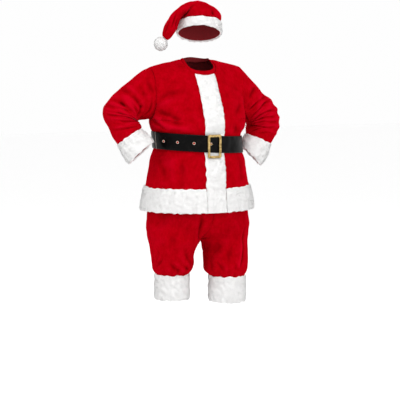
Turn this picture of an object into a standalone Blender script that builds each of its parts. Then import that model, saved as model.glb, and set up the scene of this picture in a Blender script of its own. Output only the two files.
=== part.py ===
"""Santa suit: jacket, trousers, belt and hat in red plush with white fur trim.

Metres, +Z up. The suit faces -Y and the wearer's left is +X. The origin is where the
wearer holds the jacket up, in the middle of the neck and shoulders. Heights in the tables
are above the floor that the wearer stands on, and HOLD_HEIGHT takes them to z.
"""

from dataclasses import dataclass

import bmesh
import bpy
import numpy as np
from mathutils import Matrix, Vector

HOLD_HEIGHT = 1.54
CLOTH = 0.0025
FUR = 0.012
GAP = 0.0003
LIE = 0.0006
HALF_GIRTH = 0.30

# Jacket body: rings from the hem to the underarm.
UNDERARM_HEIGHT = 1.285
SIDE_ANGLE = 98.0
BODY_COLUMNS = ("height", "half_width", "front", "back")
BODY_ROWS = (
    (0.827, 0.294, 0.244, 0.234),
    (0.885, 0.283, 0.236, 0.228),
    (0.943, 0.271, 0.230, 0.222),
    (0.990, 0.262, 0.227, 0.218),
    (1.040, 0.252, 0.222, 0.213),
    (1.090, 0.243, 0.214, 0.207),
    (1.126, 0.227, 0.211, 0.201),
    (1.168, 0.224, 0.209, 0.199),
    (1.210, 0.227, 0.211, 0.201),
    (1.235, 0.241, 0.215, 0.203),
    (1.260, 0.247, 0.215, 0.197),
    (1.285, 0.250, 0.211, 0.190),
)
# Profiles of the middle of the front and of the back above the underarm.
CHEST_COLUMNS = ("height", "front", "back")
CHEST_ROWS = (
    (1.285, 0.211, 0.190),
    (1.340, 0.191, 0.186),
    (1.393, 0.166, 0.177),
    (1.445, 0.139, 0.162),
    (1.500, 0.102, 0.138),
    (1.545, 0.068, 0.112),
    (1.575, 0.024, 0.074),
    (1.590, -0.022, 0.022),
)
SHOULDER_TIP = (0.250, 0.030, 1.543)
NECK_RIDGE = (0.0, 0.022, 1.590)
NECK_FRONT_HEIGHT = 1.500
NECK_BACK_HEIGHT = 1.568
NECK_SHARE = 4 / 12
ARMHOLE_FRONT = 0.078
ARMHOLE_BACK = 0.080
ARMHOLE_INSET = 0.008

# Sleeves: the inner and the outer point of each ring, with x taken outward from the middle.
SLEEVE_COLUMNS = (
    "inner_x", "inner_y", "inner_h", "outer_x", "outer_y", "outer_h", "depth",
)
RIGHT_SLEEVE_ROWS = (
    (0.259, 0.032, 1.284, 0.299, 0.035, 1.515, 0.080),
    (0.271, 0.036, 1.282, 0.339, 0.040, 1.484, 0.083),
    (0.286, 0.040, 1.281, 0.380, 0.048, 1.450, 0.086),
    (0.299, 0.044, 1.280, 0.434, 0.060, 1.402, 0.088),
    (0.308, 0.047, 1.278, 0.466, 0.070, 1.359, 0.089),
    (0.312, 0.045, 1.275, 0.481, 0.072, 1.324, 0.089),
    (0.312, 0.040, 1.270, 0.478, 0.066, 1.291, 0.087),
    (0.309, 0.026, 1.262, 0.462, 0.045, 1.248, 0.083),
    (0.306, 0.010, 1.253, 0.454, 0.026, 1.215, 0.078),
    (0.309, -0.008, 1.245, 0.441, 0.008, 1.181, 0.071),
    (0.321, -0.026, 1.233, 0.422, -0.010, 1.150, 0.060),
    (0.308, -0.046, 1.215, 0.416, -0.032, 1.125, 0.062),
    (0.292, -0.066, 1.195, 0.407, -0.054, 1.100, 0.066),
    (0.279, -0.084, 1.176, 0.397, -0.074, 1.077, 0.069),
)
LEFT_SLEEVE_ROWS = (
    (0.267, 0.032, 1.271, 0.310, 0.035, 1.484, 0.080),
    (0.282, 0.036, 1.267, 0.357, 0.045, 1.442, 0.083),
    (0.297, 0.040, 1.261, 0.393, 0.056, 1.404, 0.086),
    (0.308, 0.043, 1.254, 0.438, 0.072, 1.364, 0.087),
    (0.318, 0.045, 1.248, 0.474, 0.088, 1.325, 0.088),
    (0.322, 0.046, 1.240, 0.491, 0.094, 1.287, 0.088),
    (0.323, 0.046, 1.232, 0.495, 0.092, 1.249, 0.086),
    (0.320, 0.044, 1.223, 0.486, 0.082, 1.210, 0.082),
    (0.314, 0.040, 1.214, 0.467, 0.068, 1.183, 0.076),
    (0.308, 0.036, 1.202, 0.449, 0.056, 1.155, 0.069),
    (0.303, 0.030, 1.183, 0.426, 0.048, 1.130, 0.060),
    (0.286, 0.026, 1.164, 0.415, 0.042, 1.098, 0.061),
    (0.277, 0.020, 1.146, 0.394, 0.036, 1.068, 0.063),
    (0.269, 0.013, 1.129, 0.365, 0.030, 1.039, 0.065),
)
SLEEVE_FACING = (-0.42, -0.90, 0.10)

# Trousers: rings of each leg below the crotch, and of the hips above it.
CROTCH_HEIGHT = 0.675
LEG_COLUMNS = ("height", "centre_x", "centre_y", "half_width", "half_depth")
RIGHT_LEG_ROWS = (
    (0.366, -0.132, 0.020, 0.0815, 0.082),
    (0.420, -0.132, 0.020, 0.081, 0.082),
    (0.476, -0.132, 0.020, 0.081, 0.082),
    (0.496, -0.131, 0.020, 0.085, 0.087),
    (0.513, -0.131, 0.019, 0.096, 0.103),
    (0.545, -0.130, 0.016, 0.104, 0.119),
    (0.600, -0.1345, 0.010, 0.107, 0.130),
    (0.643, -0.1325, 0.004, 0.118, 0.140),
    (0.675, -0.126, 0.000, 0.131, 0.154),
)
LEFT_LEG_ROWS = (
    (0.346, 0.149, -0.045, 0.088, 0.086),
    (0.402, 0.149, -0.045, 0.088, 0.086),
    (0.460, 0.149, -0.045, 0.088, 0.086),
    (0.480, 0.147, -0.044, 0.092, 0.091),
    (0.498, 0.144, -0.040, 0.108, 0.106),
    (0.540, 0.147, -0.032, 0.114, 0.119),
    (0.600, 0.151, -0.018, 0.1155, 0.132),
    (0.648, 0.149, -0.005, 0.118, 0.142),
    (0.675, 0.136, 0.000, 0.131, 0.154),
)
HIP_COLUMNS = ("height", "half_width", "front", "back")
HIP_ROWS = (
    (0.675, 0.262, 0.156, 0.156),
    (0.705, 0.269, 0.166, 0.166),
    (0.745, 0.273, 0.178, 0.178),
    (0.806, 0.270, 0.190, 0.190),
    (0.880, 0.256, 0.193, 0.192),
    (0.960, 0.232, 0.186, 0.184),
    (1.050, 0.205, 0.176, 0.172),
)
MIDDLE_SEAM = 0.005
CROTCH_RISE = 0.150
WAISTBAND = 0.035

# Hat: rings from the brim over the dome and down the folded tail, in a frame turned
# HAT_TURN degrees to the wearer's right. Inner points are on the side of the tail.
HAT_TURN = -25.0
HAT_COLUMNS = (
    "inner_across", "inner_h", "outer_across", "outer_h", "toward", "depth", "tilt",
)
HAT_ROWS = (
    (-0.099, 1.7085, 0.112, 1.7085, 0.000, 0.112, 22.0),
    (-0.098, 1.7375, 0.112, 1.7375, 0.000, 0.112, 19.0),
    (-0.096, 1.7655, 0.112, 1.7665, 0.000, 0.111, 16.0),
    (-0.093, 1.7805, 0.113, 1.7905, 0.004, 0.109, 10.0),
    (-0.084, 1.7925, 0.092, 1.8215, 0.012, 0.102, 4.0),
    (-0.076, 1.7985, 0.052, 1.8555, 0.026, 0.090, 0.0),
    (-0.073, 1.8015, 0.008, 1.8715, 0.042, 0.077, 0.0),
    (-0.075, 1.8025, -0.046, 1.8655, 0.060, 0.063, 0.0),
    (-0.079, 1.7965, -0.091, 1.8405, 0.078, 0.052, 0.0),
    (-0.086, 1.7825, -0.134, 1.7995, 0.090, 0.043, 0.0),
    (-0.095, 1.7585, -0.160, 1.7575, 0.092, 0.037, 0.0),
    (-0.104, 1.7285, -0.174, 1.7245, 0.090, 0.032, 0.0),
    (-0.126, 1.6945, -0.178, 1.7075, 0.084, 0.025, 0.0),
    (-0.150, 1.6755, -0.175, 1.6960, 0.080, 0.016, 0.0),
)
HAT_BAND_ROWS = 3
HAT_CENTRE = (0.0012, -0.0066)
POMPOM = (-0.1840, 0.0790, 1.6586)
POMPOM_RADIUS = 0.037

# Belt, buckle and eyelets.
BELT_LOW = 1.124
BELT_HIGH = 1.208
BELT_THICK = 0.0035
# The belt sits this much higher on the wearer's right side than in front.
BELT_SLOPE = 0.014
BUCKLE_CENTRE = (-0.009, 1.156)
BUCKLE_SIZE = (0.074, 0.117)
BUCKLE_BAR = 0.0125
BUCKLE_BACK = -0.22382
BUCKLE_THICK = 0.005
EYELET_ANGLES = (-6.6, -27.0, -47.4, -67.8)
EYELET_RADIUS = 0.0075
EYELET_HOLE = 0.0043
EYELET_THICK = 0.0011
PRONG_LENGTH = 0.0155
PRONG_RADIUS = 0.0024
PRONG_HEIGHT = 1.1665
PRONG_OUT = 0.0024
BUCKLE_BEVEL = 0.0012
# Degrees round the belt, from the strap's free tip. Each eyelet stands in the middle of one
# flat step of the strap.
STRAP_STEP = 20.4 / 3
STRAP_START = -6.6 - 11.5 * STRAP_STEP
STRAP_STEPS = 64
STRAP_DROP = (-10.0, 6.0)
BAND_HALF = 0.0535
NECK_BAND_HEIGHT = 0.024

RED = (0.52, 0.0, 0.012)
WHITE = (0.90, 0.89, 0.87)
BLACK = (0.012, 0.011, 0.011)
BRASS = (0.60, 0.42, 0.13)


def column(rows, names, name):
    return np.array([row[names.index(name)] for row in rows], float)


def smooth(at, xs, ys):
    """A curve with continuous slope through the points of a table."""
    xs, ys, at = np.asarray(xs, float), np.asarray(ys, float), np.asarray(at, float)
    slope = np.gradient(ys, xs)
    i = np.clip(np.searchsorted(xs, at) - 1, 0, len(xs) - 2)
    width = xs[i + 1] - xs[i]
    t = np.clip((at - xs[i]) / width, 0, 1)
    return (
        (1 + 2 * t) * (1 - t) ** 2 * ys[i]
        + t * (1 - t) ** 2 * width * slope[i]
        + t * t * (3 - 2 * t) * ys[i + 1]
        + t * t * (t - 1) * width * slope[i + 1]
    )


def unit(v):
    return v / np.maximum(np.linalg.norm(v, axis=-1, keepdims=True), 1e-12)


def step(t):
    t = np.clip(t, 0, 1)
    return t * t * (3 - 2 * t)


def normals(grid, closed=False):
    """Normals of a grid of points, along rows crossed with up the rows."""
    if closed:
        across = np.roll(grid, -1, axis=1) - np.roll(grid, 1, axis=1)
    else:
        across = np.gradient(grid, axis=1)
    return unit(np.cross(across, np.gradient(grid, axis=0)))


def enclosed(points, faces):
    """The volume inside the faces, less than zero when they face inward."""
    total = 0.0
    for f in faces:
        for i in range(1, len(f) - 1):
            total += np.dot(points[f[0]], np.cross(points[f[i]], points[f[i + 1]]))
    return total / 6


def made(name, points, faces, material):
    """One closed mesh as a named object, in the frame whose origin holds the suit."""
    points = np.asarray(points, float).copy()
    points[:, 2] -= HOLD_HEIGHT
    mesh = bpy.data.meshes.new(name)
    faces = [list(map(int, f)) for f in faces]
    if enclosed(points, faces) < 0:
        faces = [f[::-1] for f in faces]
    mesh.from_pydata(points.tolist(), [], faces)
    mesh.update()
    mesh.materials.append(material)
    obj = bpy.data.objects.new(name, mesh)
    SUIT.objects.link(obj)
    return obj


def wall(name, outer, inner, material, closed=False):
    """A wall between two grids of points, closed round its edges. A closed grid joins its
    last column to its first. Both faces are cut along the same diagonals."""
    rows, cols = outer.shape[:2]
    count = rows * cols
    at = np.arange(count).reshape(rows, cols)
    nxt = np.roll(at, -1, axis=1) if closed else at[:, 1:]
    here = at if closed else at[:, :-1]
    out = np.stack([here[:-1], nxt[:-1], nxt[1:], here[1:]], axis=-1).reshape(-1, 4)
    faces = [out, out[:, ::-1] + count]
    low, high = (here[0], nxt[0]), (here[-1], nxt[-1])
    faces.append(np.stack([low[1], low[0], low[0] + count, low[1] + count], axis=-1))
    faces.append(np.stack([high[0], high[1], high[1] + count, high[0] + count], axis=-1))
    if not closed:
        a, b = at[:-1, 0], at[1:, 0]
        faces.append(np.stack([a, b, b + count, a + count], axis=-1))
        a, b = at[:-1, -1], at[1:, -1]
        faces.append(np.stack([b, a, a + count, b + count], axis=-1))
    first, second, rims = faces[0], faces[1], np.concatenate(faces[2:])
    cut = np.concatenate([
        first[:, [0, 1, 2]], first[:, [0, 2, 3]],
        second[:, [1, 2, 3]], second[:, [0, 1, 3]],
        rims[:, [0, 1, 2]], rims[:, [0, 2, 3]],
    ])
    points = np.concatenate([outer.reshape(-1, 3), inner.reshape(-1, 3)])
    return made(name, points, cut, material)


def drawn_in(grid, left=0.0, right=0.0, low=0.0, high=0.0):
    """The grid with its edges drawn in along its own surface by these distances."""
    grid = grid.copy()
    old = grid.copy()
    for amount, edge, beside in ((left, 0, 1), (right, -1, -2)):
        grid[:, edge] += amount * unit(old[:, beside] - old[:, edge])
    for amount, edge, beside in ((low, 0, 1), (high, -1, -2)):
        grid[edge] += amount * unit(old[beside] - old[edge])
    return grid


def ridge(distance, width):
    """A soft rounded ridge: one at no distance, and nothing past twice the width."""
    return np.exp(-((distance / width) ** 2))


@dataclass(frozen=True)
class Fold:
    """A fold on a surface, along the line from one (u, v) to another."""

    u0: float
    v0: float
    u1: float
    v1: float
    width: float
    depth: float

    def height(self, u, v, period=None):
        """How far the fold lifts the surface at (u, v), less toward its ends."""
        du, dv = self.u1 - self.u0, self.v1 - self.v0
        gap = u - self.u0
        if period:
            gap = (gap - du / 2 + period / 2) % period - period / 2 + du / 2
        t = (gap * du + (v - self.v0) * dv) / (du * du + dv * dv)
        near = np.clip(t, 0, 1)
        off = np.hypot(gap - near * du, v - self.v0 - near * dv)
        fade = np.sin(np.pi * np.clip(0.12 + 0.76 * near, 0, 1)) ** 0.7
        return self.depth * fade * ridge(off, self.width)


def folded(folds, u, v, period=None):
    return sum(fold.height(u, v, period) for fold in folds)


# ---------------------------------------------------------------- jacket body

HIGH_ROWS = 10
HALF_COLUMNS = 12

# Folds on the body: u is the distance from the middle, left being more, and v the height.
FRONT_FOLDS = (
    Fold(-0.290, 1.275, -0.090, 1.228, 0.018, 0.007),
    Fold(-0.285, 1.315, -0.180, 1.285, 0.016, 0.006),
    Fold(0.285, 1.285, 0.130, 1.235, 0.017, 0.006),
    Fold(-0.250, 1.045, -0.130, 1.092, 0.020, 0.004),
    Fold(0.150, 1.020, 0.270, 1.085, 0.020, 0.004),
)
BACK_FOLDS = (
    Fold(-0.275, 1.270, -0.080, 1.240, 0.020, 0.007),
    Fold(0.280, 1.275, 0.060, 1.235, 0.019, 0.007),
    Fold(-0.210, 1.040, -0.060, 1.088, 0.022, 0.004),
    Fold(0.090, 1.030, 0.220, 1.085, 0.022, 0.004),
)


def body_ring(u, height, back=False):
    """A ring of the jacket body at a height, with u from -1 to 1 between side seams."""
    heights = column(BODY_ROWS, BODY_COLUMNS, "height")
    half, front, behind = (
        smooth(height, heights, column(BODY_ROWS, BODY_COLUMNS, name))
        for name in ("half_width", "front", "back")
    )
    span = 180.0 - SIDE_ANGLE if back else SIDE_ANGLE
    angle = np.radians(span * u)
    x = half * np.sin(angle)
    if back:
        return x, behind * np.cos(angle)
    cosine = np.cos(angle)
    return x, np.where(cosine > 0, -front * cosine, -behind * cosine)


def shoulder_line(u):
    """The shoulder seams and the line that joins them over the neck opening."""
    across = np.abs(u)[..., None]
    ridge_point, tip = np.array(NECK_RIDGE), np.array(SHOULDER_TIP)
    line = ridge_point + across * (tip - ridge_point)
    line = line + 0.006 * np.sin(np.pi * across) * np.array((0, 0, 1))
    line[..., 0] *= np.sign(u)
    return line


def body_panel(back=False):
    """The whole front or back, from the hem up to the shoulder seams and neckline, as rows of
    points from the right side seam to the left. Above the underarm each row bulges between the
    ring below, the shoulder line, the armhole edges and the profile of the middle. The
    neckline cuts the rows short."""
    u = np.linspace(-1, 1, 2 * HALF_COLUMNS + 1)
    rings = []
    for height in column(BODY_ROWS, BODY_COLUMNS, "height"):
        x, y = body_ring(u, height, back)
        rings.append(np.stack([x, y, np.full_like(u, height)], axis=-1))
    which = "back" if back else "front"
    heights = column(CHEST_ROWS, CHEST_COLUMNS, "height")
    depths = column(CHEST_ROWS, CHEST_COLUMNS, which) * (1 if back else -1)
    top = shoulder_line(u)[None]
    outward = np.abs(u)[None]

    def rise(w):
        return w + 0.30 * w * (1 - w) * (1 - outward ** 2)

    fine = np.linspace(0, 1, 201)
    drop = NECK_BACK_HEIGHT if back else NECK_FRONT_HEIGHT
    share = (drop - UNDERARM_HEIGHT) / (NECK_RIDGE[2] - UNDERARM_HEIGHT)
    cut = np.interp(share, fine + 0.30 * fine * (1 - fine), fine)
    scoop = np.sqrt(np.clip(1 - (outward / NECK_SHARE) ** 2, 0, 1))
    w = (1 - np.cos(np.pi * np.arange(1, HIGH_ROWS + 1) / HIGH_ROWS))[:, None] / 2
    w = w * (1 - (1 - cut) * scoop)
    x0, y0 = body_ring(u, UNDERARM_HEIGHT, back)
    blend = w ** 2.4
    edge = outward ** 3
    x = (1 - w) * x0 + w * top[..., 0]
    x = x - np.sign(u) * ARMHOLE_INSET * np.sin(np.pi * w) * outward ** 6
    z = UNDERARM_HEIGHT + rise(w) * (top[..., 2] - UNDERARM_HEIGHT)
    straight = (1 - blend) * y0 + blend * top[..., 1]
    middle = UNDERARM_HEIGHT + (w + 0.30 * w * (1 - w)) * (NECK_RIDGE[2] - UNDERARM_HEIGHT)
    plain = (1 - blend) * y0[HALF_COLUMNS] + blend * NECK_RIDGE[1]
    to_profile = smooth(middle, heights, depths) - plain
    reach = ARMHOLE_BACK if back else -ARMHOLE_FRONT
    to_edge = reach * 2 * np.sqrt(np.clip(w * (1 - w), 0, 1))
    to_edge = to_edge + (blend - w) * (y0[-1] - top[:, -1:, 1])
    y = straight + to_profile * (1 - edge) + to_edge * edge
    return np.concatenate([np.array(rings), np.stack([x, y, z], axis=-1)]), u


def raised(grid, u, folds, normal):
    """The grid with its folds, which die out at the side seams and under the belt. Folds take
    u in metres."""
    across = np.broadcast_to(u, grid.shape[:2])
    z = grid[..., 2]
    lift = folded(folds, across * HALF_GIRTH, z) * (1 - np.abs(across) ** 8)
    level = z + BELT_SLOPE * np.clip(grid[..., 0] / 0.226, -1, 1)
    free = step((level - BELT_HIGH - 0.018) / 0.022) + step((BELT_LOW - 0.014 - level) / 0.026)
    return grid + normal * (lift * free)[..., None]


def jacket_body():
    """(front, its normals, back, its normals), alike along the seams that they share."""
    front, u = body_panel()
    back, _ = body_panel(back=True)
    back = back[:, ::-1]
    front = raised(front, u, FRONT_FOLDS, normals(front))
    back = raised(back, -u, BACK_FOLDS, normals(back))
    nf, nb = normals(front), normals(back)
    for a, b in ((0, -1), (-1, 0)):
        shared = unit(nf[:, a] + nb[:, b])
        nf[:, a] = nb[:, b] = shared
    shoulder = np.abs(u) >= NECK_SHARE - 1e-9
    shared = unit(nf[-1] + nb[-1, ::-1])
    nf[-1, shoulder] = shared[shoulder]
    nb[-1, ::-1][shoulder] = shared[shoulder]
    return front, nf, back, nb


# -------------------------------------------------------------------- sleeves

SLEEVE_AROUND = 2 * HIGH_ROWS
SLEEVE_STEPS = 21
CUFF_ROWS = (11.7, 12.85, 14)
CUFF_START = 10.6
# Folds on a sleeve: u is the turn from the top over the front, in turns, and v runs along.
RIGHT_SLEEVE_FOLDS = (
    Fold(0.10, 0.18, 0.42, 0.34, 0.035, 0.008),
    Fold(0.02, 0.30, 0.44, 0.40, 0.030, 0.009),
    Fold(-0.05, 0.38, 0.40, 0.46, 0.028, 0.007),
    Fold(0.05, 0.50, 0.42, 0.49, 0.026, 0.008),
    Fold(0.10, 0.60, 0.44, 0.55, 0.026, 0.007),
    Fold(0.75, 0.25, 0.60, 0.42, 0.034, 0.008),
    Fold(0.85, 0.48, 0.62, 0.50, 0.030, 0.008),
)
LEFT_SLEEVE_FOLDS = (
    Fold(0.12, 0.16, 0.42, 0.33, 0.034, 0.008),
    Fold(0.02, 0.27, 0.44, 0.40, 0.028, 0.009),
    Fold(0.00, 0.37, 0.42, 0.45, 0.024, 0.007),
    Fold(0.02, 0.46, 0.42, 0.49, 0.024, 0.008),
    Fold(0.03, 0.55, 0.42, 0.54, 0.024, 0.008),
    Fold(0.06, 0.64, 0.42, 0.58, 0.024, 0.006),
    Fold(0.75, 0.25, 0.60, 0.42, 0.034, 0.008),
    Fold(0.85, 0.50, 0.60, 0.50, 0.030, 0.008),
)


def armhole(front, back, side):
    """The armhole's points from its top down the front and up the back, side 1 for the left."""
    low = len(BODY_ROWS) - 1
    f, b = (-1, 0) if side > 0 else (0, -1)
    down, up = front[low:, f][::-1], back[low:, b]
    return np.concatenate([down, up[1:-1]])


def sleeve_rings(rows, side, loop):
    """Rings of a sleeve from the armhole to its end, in the armhole's order of points."""
    first = (
        abs(loop[HIGH_ROWS, 0]), *loop[HIGH_ROWS, 1:],
        abs(loop[0, 0]), *loop[0, 1:], ARMHOLE_FRONT,
    )
    table = (first, *rows)
    at = np.concatenate([np.linspace(0, CUFF_START, SLEEVE_STEPS), CUFF_ROWS])
    data = {
        name: smooth(at, range(len(table)), column(table, SLEEVE_COLUMNS, name))
        for name in SLEEVE_COLUMNS
    }
    inner = np.stack([side * data["inner_x"], data["inner_y"], data["inner_h"]], axis=-1)
    outer = np.stack([side * data["outer_x"], data["outer_y"], data["outer_h"]], axis=-1)
    centre, half = (inner + outer) / 2, (outer - inner) / 2
    turn = step(at / 5)[:, None]
    facing = (1 - turn) * np.array((0.0, -1.0, 0.0)) + turn * unit(np.array(SLEEVE_FACING))
    along = unit(half)
    facing = unit(facing - (facing * along).sum(-1, keepdims=True) * along)
    angle = 2 * np.pi * np.arange(SLEEVE_AROUND) / SLEEVE_AROUND
    rings = (
        centre[:, None]
        + half[:, None] * np.cos(angle)[None, :, None]
        + (facing * data["depth"][:, None])[:, None] * np.sin(angle)[None, :, None]
    )
    fade = (1 - step(at / 3.5))[:, None, None]
    return rings + (loop - rings[0])[None] * fade, at / (len(table) - 1)


def sleeve(side, rows, folds, loop):
    """(points, normals) of a sleeve, with its first ring on the armhole."""
    rings, v = sleeve_rings(rows, side, loop)
    if side < 0:
        rings = np.roll(rings[:, ::-1], 1, axis=1)
    u = np.arange(SLEEVE_AROUND) / SLEEVE_AROUND
    u = u if side > 0 else (1 - u) % 1
    normal = normals(rings, closed=True)
    lift = folded(folds, u[None, :], v[:, None], period=1.0)
    fade = step(v / 0.12) * (1 - step((v - 0.66) / 0.08))
    rings = rings + normal * (lift * fade[:, None])[..., None]
    return rings, normals(rings, closed=True)


def cuff_on(grid, normal, start, material, name, closed=True, lips=0.55):
    """Fur over the last rows of a grid, thinner at its edges."""
    base, n = grid[start:], normal[start:]
    t = np.linspace(0, 1, len(base))
    thick = FUR * (lips + (1 - lips) * np.sin(np.pi * t) ** 0.5)
    return wall(name, base + n * (LIE + thick)[:, None, None], base + n * LIE, material, closed)


# ------------------------------------------------------------------- trousers

LEG_ACROSS = 11
CROTCH_STEPS = 7
TROUSER_FOLDS = (
    Fold(0.30, 0.690, 0.62, 0.575, 0.022, 0.006),
    Fold(0.72, 0.800, 0.70, 0.560, 0.026, 0.006),
    Fold(0.25, 0.760, 0.45, 0.700, 0.020, 0.005),
    Fold(0.15, 0.520, 0.20, 0.560, 0.018, 0.005),
    Fold(0.45, 0.515, 0.47, 0.560, 0.016, 0.005),
    Fold(0.75, 0.515, 0.70, 0.570, 0.018, 0.005),
)


def leg_rows(rows):
    """Heights of a leg's rows, from its end up to the waist."""
    table = column(rows, LEG_COLUMNS, "height")
    rise = CROTCH_HEIGHT + CROTCH_RISE * (1 - np.cos(np.linspace(0, 1, CROTCH_STEPS) * np.pi / 2))
    hips = column(HIP_ROWS, HIP_COLUMNS, "height")
    return np.concatenate([table[:-1], rise, hips[hips > CROTCH_HEIGHT + CROTCH_RISE + 0.02]])


def trouser_panel(side, rows, back=False):
    """Half a leg from its end to the waist, with u from the inner seam to the outer one. Below
    the crotch each row is half a ring round the leg, and above it the row turns into a quarter
    of the ring round the hips, as its inner end leaves the crotch and follows the middle seam."""
    u = np.linspace(0, 1, LEG_ACROSS)
    heights = leg_rows(rows)
    low = np.minimum(heights, CROTCH_HEIGHT)
    table = column(rows, LEG_COLUMNS, "height")
    cx, cy, a, b = (
        smooth(low, table, column(rows, LEG_COLUMNS, name))[:, None]
        for name in ("centre_x", "centre_y", "half_width", "half_depth")
    )
    hips = column(HIP_ROWS, HIP_COLUMNS, "height")
    high = np.maximum(heights, CROTCH_HEIGHT)
    half, depth = (
        smooth(high, hips, column(HIP_ROWS, HIP_COLUMNS, name))[:, None]
        for name in ("half_width", "back" if back else "front")
    )
    sign = 1.0 if back else -1.0
    leg_x = cx - side * a * np.cos(np.pi * u)
    leg_y = cy + sign * b * np.sin(np.pi * u)
    hip_x = MIDDLE_SEAM + side * half * np.sin(np.pi * u / 2)
    hip_y = sign * depth * np.cos(np.pi * u / 2)
    rise = np.clip((heights - CROTCH_HEIGHT) / CROTCH_RISE, 0, 1)[:, None]
    turn = step(rise) + (np.sqrt(1 - (1 - rise) ** 2) - step(rise)) * (1 - u) ** 3
    spread = (hip_x[:, -1:] - MIDDLE_SEAM) / (leg_x[:, -1:] - MIDDLE_SEAM)
    spread = np.where(rise > 0, spread, 1.0)
    leg_x = MIDDLE_SEAM + (leg_x - MIDDLE_SEAM) * spread
    x = (1 - turn) * leg_x + turn * hip_x
    y = (1 - turn) * leg_y + turn * hip_y
    z = np.broadcast_to(heights[:, None], x.shape)
    return np.stack([x, y, z], axis=-1), u


def trousers():
    """Each panel's points and normals, alike along the seams that the panels share."""
    grids, ns = {}, {}
    for side, rows in ((-1, RIGHT_LEG_ROWS), (1, LEFT_LEG_ROWS)):
        for back in (False, True):
            grid, u = trouser_panel(side, rows, back)
            if (side > 0) == back:
                grid, u = grid[:, ::-1], u[::-1]
            n = normals(grid)
            z = grid[..., 2]
            lift = folded(TROUSER_FOLDS, np.broadcast_to(u, z.shape) * 0.38, z + 0 * u)
            fade = np.sin(np.pi * np.clip(u, 0, 1)) ** 0.5 * (z > rows[2][0] + 0.03)
            grid = grid + n * (lift * fade)[..., None]
            grids[side, back], ns[side, back] = grid, normals(grid)
    for side in (-1, 1):
        for edge in (0, 1):
            front, back = ns[side, False], ns[side, True]
            f = edge * -1 if side > 0 else edge - 1
            b = -1 - f if f in (0, -1) else f
            shared = unit(front[:, f] + back[:, b])
            if edge == 0:
                above = grids[side, False][:, f, 2] >= CROTCH_HEIGHT - 1e-6
                front[~above, f] = back[~above, b] = shared[~above]
            else:
                front[:, f] = back[:, b] = shared
    for side in (-1, 1):
        for back in (False, True):
            n, grid = ns[side, back], grids[side, back]
            inner = 0 if (side > 0) != back else -1
            above = grid[:, inner, 2] > CROTCH_HEIGHT + 1e-6
            n[above, inner, 0] = 0.0
            at = np.argmin(np.abs(grid[:, inner, 2] - CROTCH_HEIGHT))
            n[at, inner] = (-side * 0.7, 0.0, -0.7)
            ns[side, back] = unit(n)
    return grids, ns


# ------------------------------------------------------------------------ hat

HAT_AROUND = 20


def hat_rings():
    """Rings of the hat from the brim over the dome to the end of its tail."""
    data = {name: column(HAT_ROWS, HAT_COLUMNS, name) for name in HAT_COLUMNS}
    turn = np.radians(HAT_TURN)
    right = np.array((np.cos(turn), np.sin(turn), 0.0))
    toward = np.array((np.sin(turn), -np.cos(turn), 0.0))
    up = np.array((0.0, 0.0, 1.0))
    at = np.array((*HAT_CENTRE, 0.0))
    ends = [
        at + data[s + "_across"][:, None] * right + data[s + "_h"][:, None] * up
        + data["toward"][:, None] * toward
        for s in ("inner", "outer")
    ]
    centre, half = (ends[0] + ends[1]) / 2, (ends[1] - ends[0]) / 2
    tilt = np.radians(data["tilt"])[:, None]
    facing = np.cos(tilt) * toward + np.sin(tilt) * up
    angle = 2 * np.pi * np.arange(HAT_AROUND) / HAT_AROUND
    rings = (
        centre[:, None]
        + half[:, None] * np.cos(angle)[None, :, None]
        - (facing * data["depth"][:, None])[:, None] * np.sin(angle)[None, :, None]
    )
    return rings


# ------------------------------------------------------------- belt and build


def row_at(points, x):
    """Points at these x along rows of points whose x grows along the row."""
    out = np.empty((len(points), len(x), points.shape[-1]))
    for i, row in enumerate(points):
        for k in range(points.shape[-1]):
            out[i, :, k] = np.interp(x, row[:, 0], row[:, k])
    return out


def belt_point(angle, height, lift):
    """A point round the belt, lift out from the jacket, at an angle from the front. The belt
    slopes down from the wearer's right to the left."""
    height = height - BELT_SLOPE * np.sin(angle)
    heights = column(BODY_ROWS, BODY_COLUMNS, "height")
    half, front, back = (
        np.interp(height, heights, column(BODY_ROWS, BODY_COLUMNS, name))
        for name in ("half_width", "front", "back")
    )
    depth = np.where(np.cos(angle) > 0, front, back)
    x, y = half * np.sin(angle), -depth * np.cos(angle)
    n = unit(np.stack([np.sin(angle) / half, -np.cos(angle) / depth, 0 * angle], axis=-1))
    return np.stack([x, y, height + 0 * angle], axis=-1) + n * np.asarray(lift)[..., None]


def belt_lift(x, y):
    """How far the strap stands off the jacket: more where it crosses the fur in front."""
    over_fur = step((0.082 - np.abs(x)) / 0.022) * (y < 0)
    return 0.0016 + 0.0048 * over_fur


def strap_faces():
    """Inner and outer rows of points of the strap: from its free tip over its fixed end, then
    under the buckle and once round to the fixed end behind the frame's side bar."""
    angle = np.radians(STRAP_START + STRAP_STEP * np.arange(STRAP_STEPS + 1))
    low, high = np.radians(STRAP_DROP)
    over = 1 - step((angle - low) / (high - low))
    plain = belt_point(angle, 1.168, 0 * angle)
    lift = belt_lift(plain[:, 0], plain[:, 1]) + over * (BELT_THICK + 0.0005)
    faces = []
    for out in (0.0, BELT_THICK):
        edges = [belt_point(angle, h, lift + out) for h in (BELT_LOW, BELT_HIGH)]
        faces.append(np.array([edges[0], (edges[0] + edges[1]) / 2, edges[1]]))
    return faces


def placed(name, data, matrix, material):
    """An object of this mesh or curve, with its material, standing at the matrix."""
    obj = bpy.data.objects.new(name, data)
    obj.data.materials.append(material)
    obj.matrix_world = Matrix.Translation((0, 0, -HOLD_HEIGHT)) @ matrix
    SUIT.objects.link(obj)
    return obj


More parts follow.
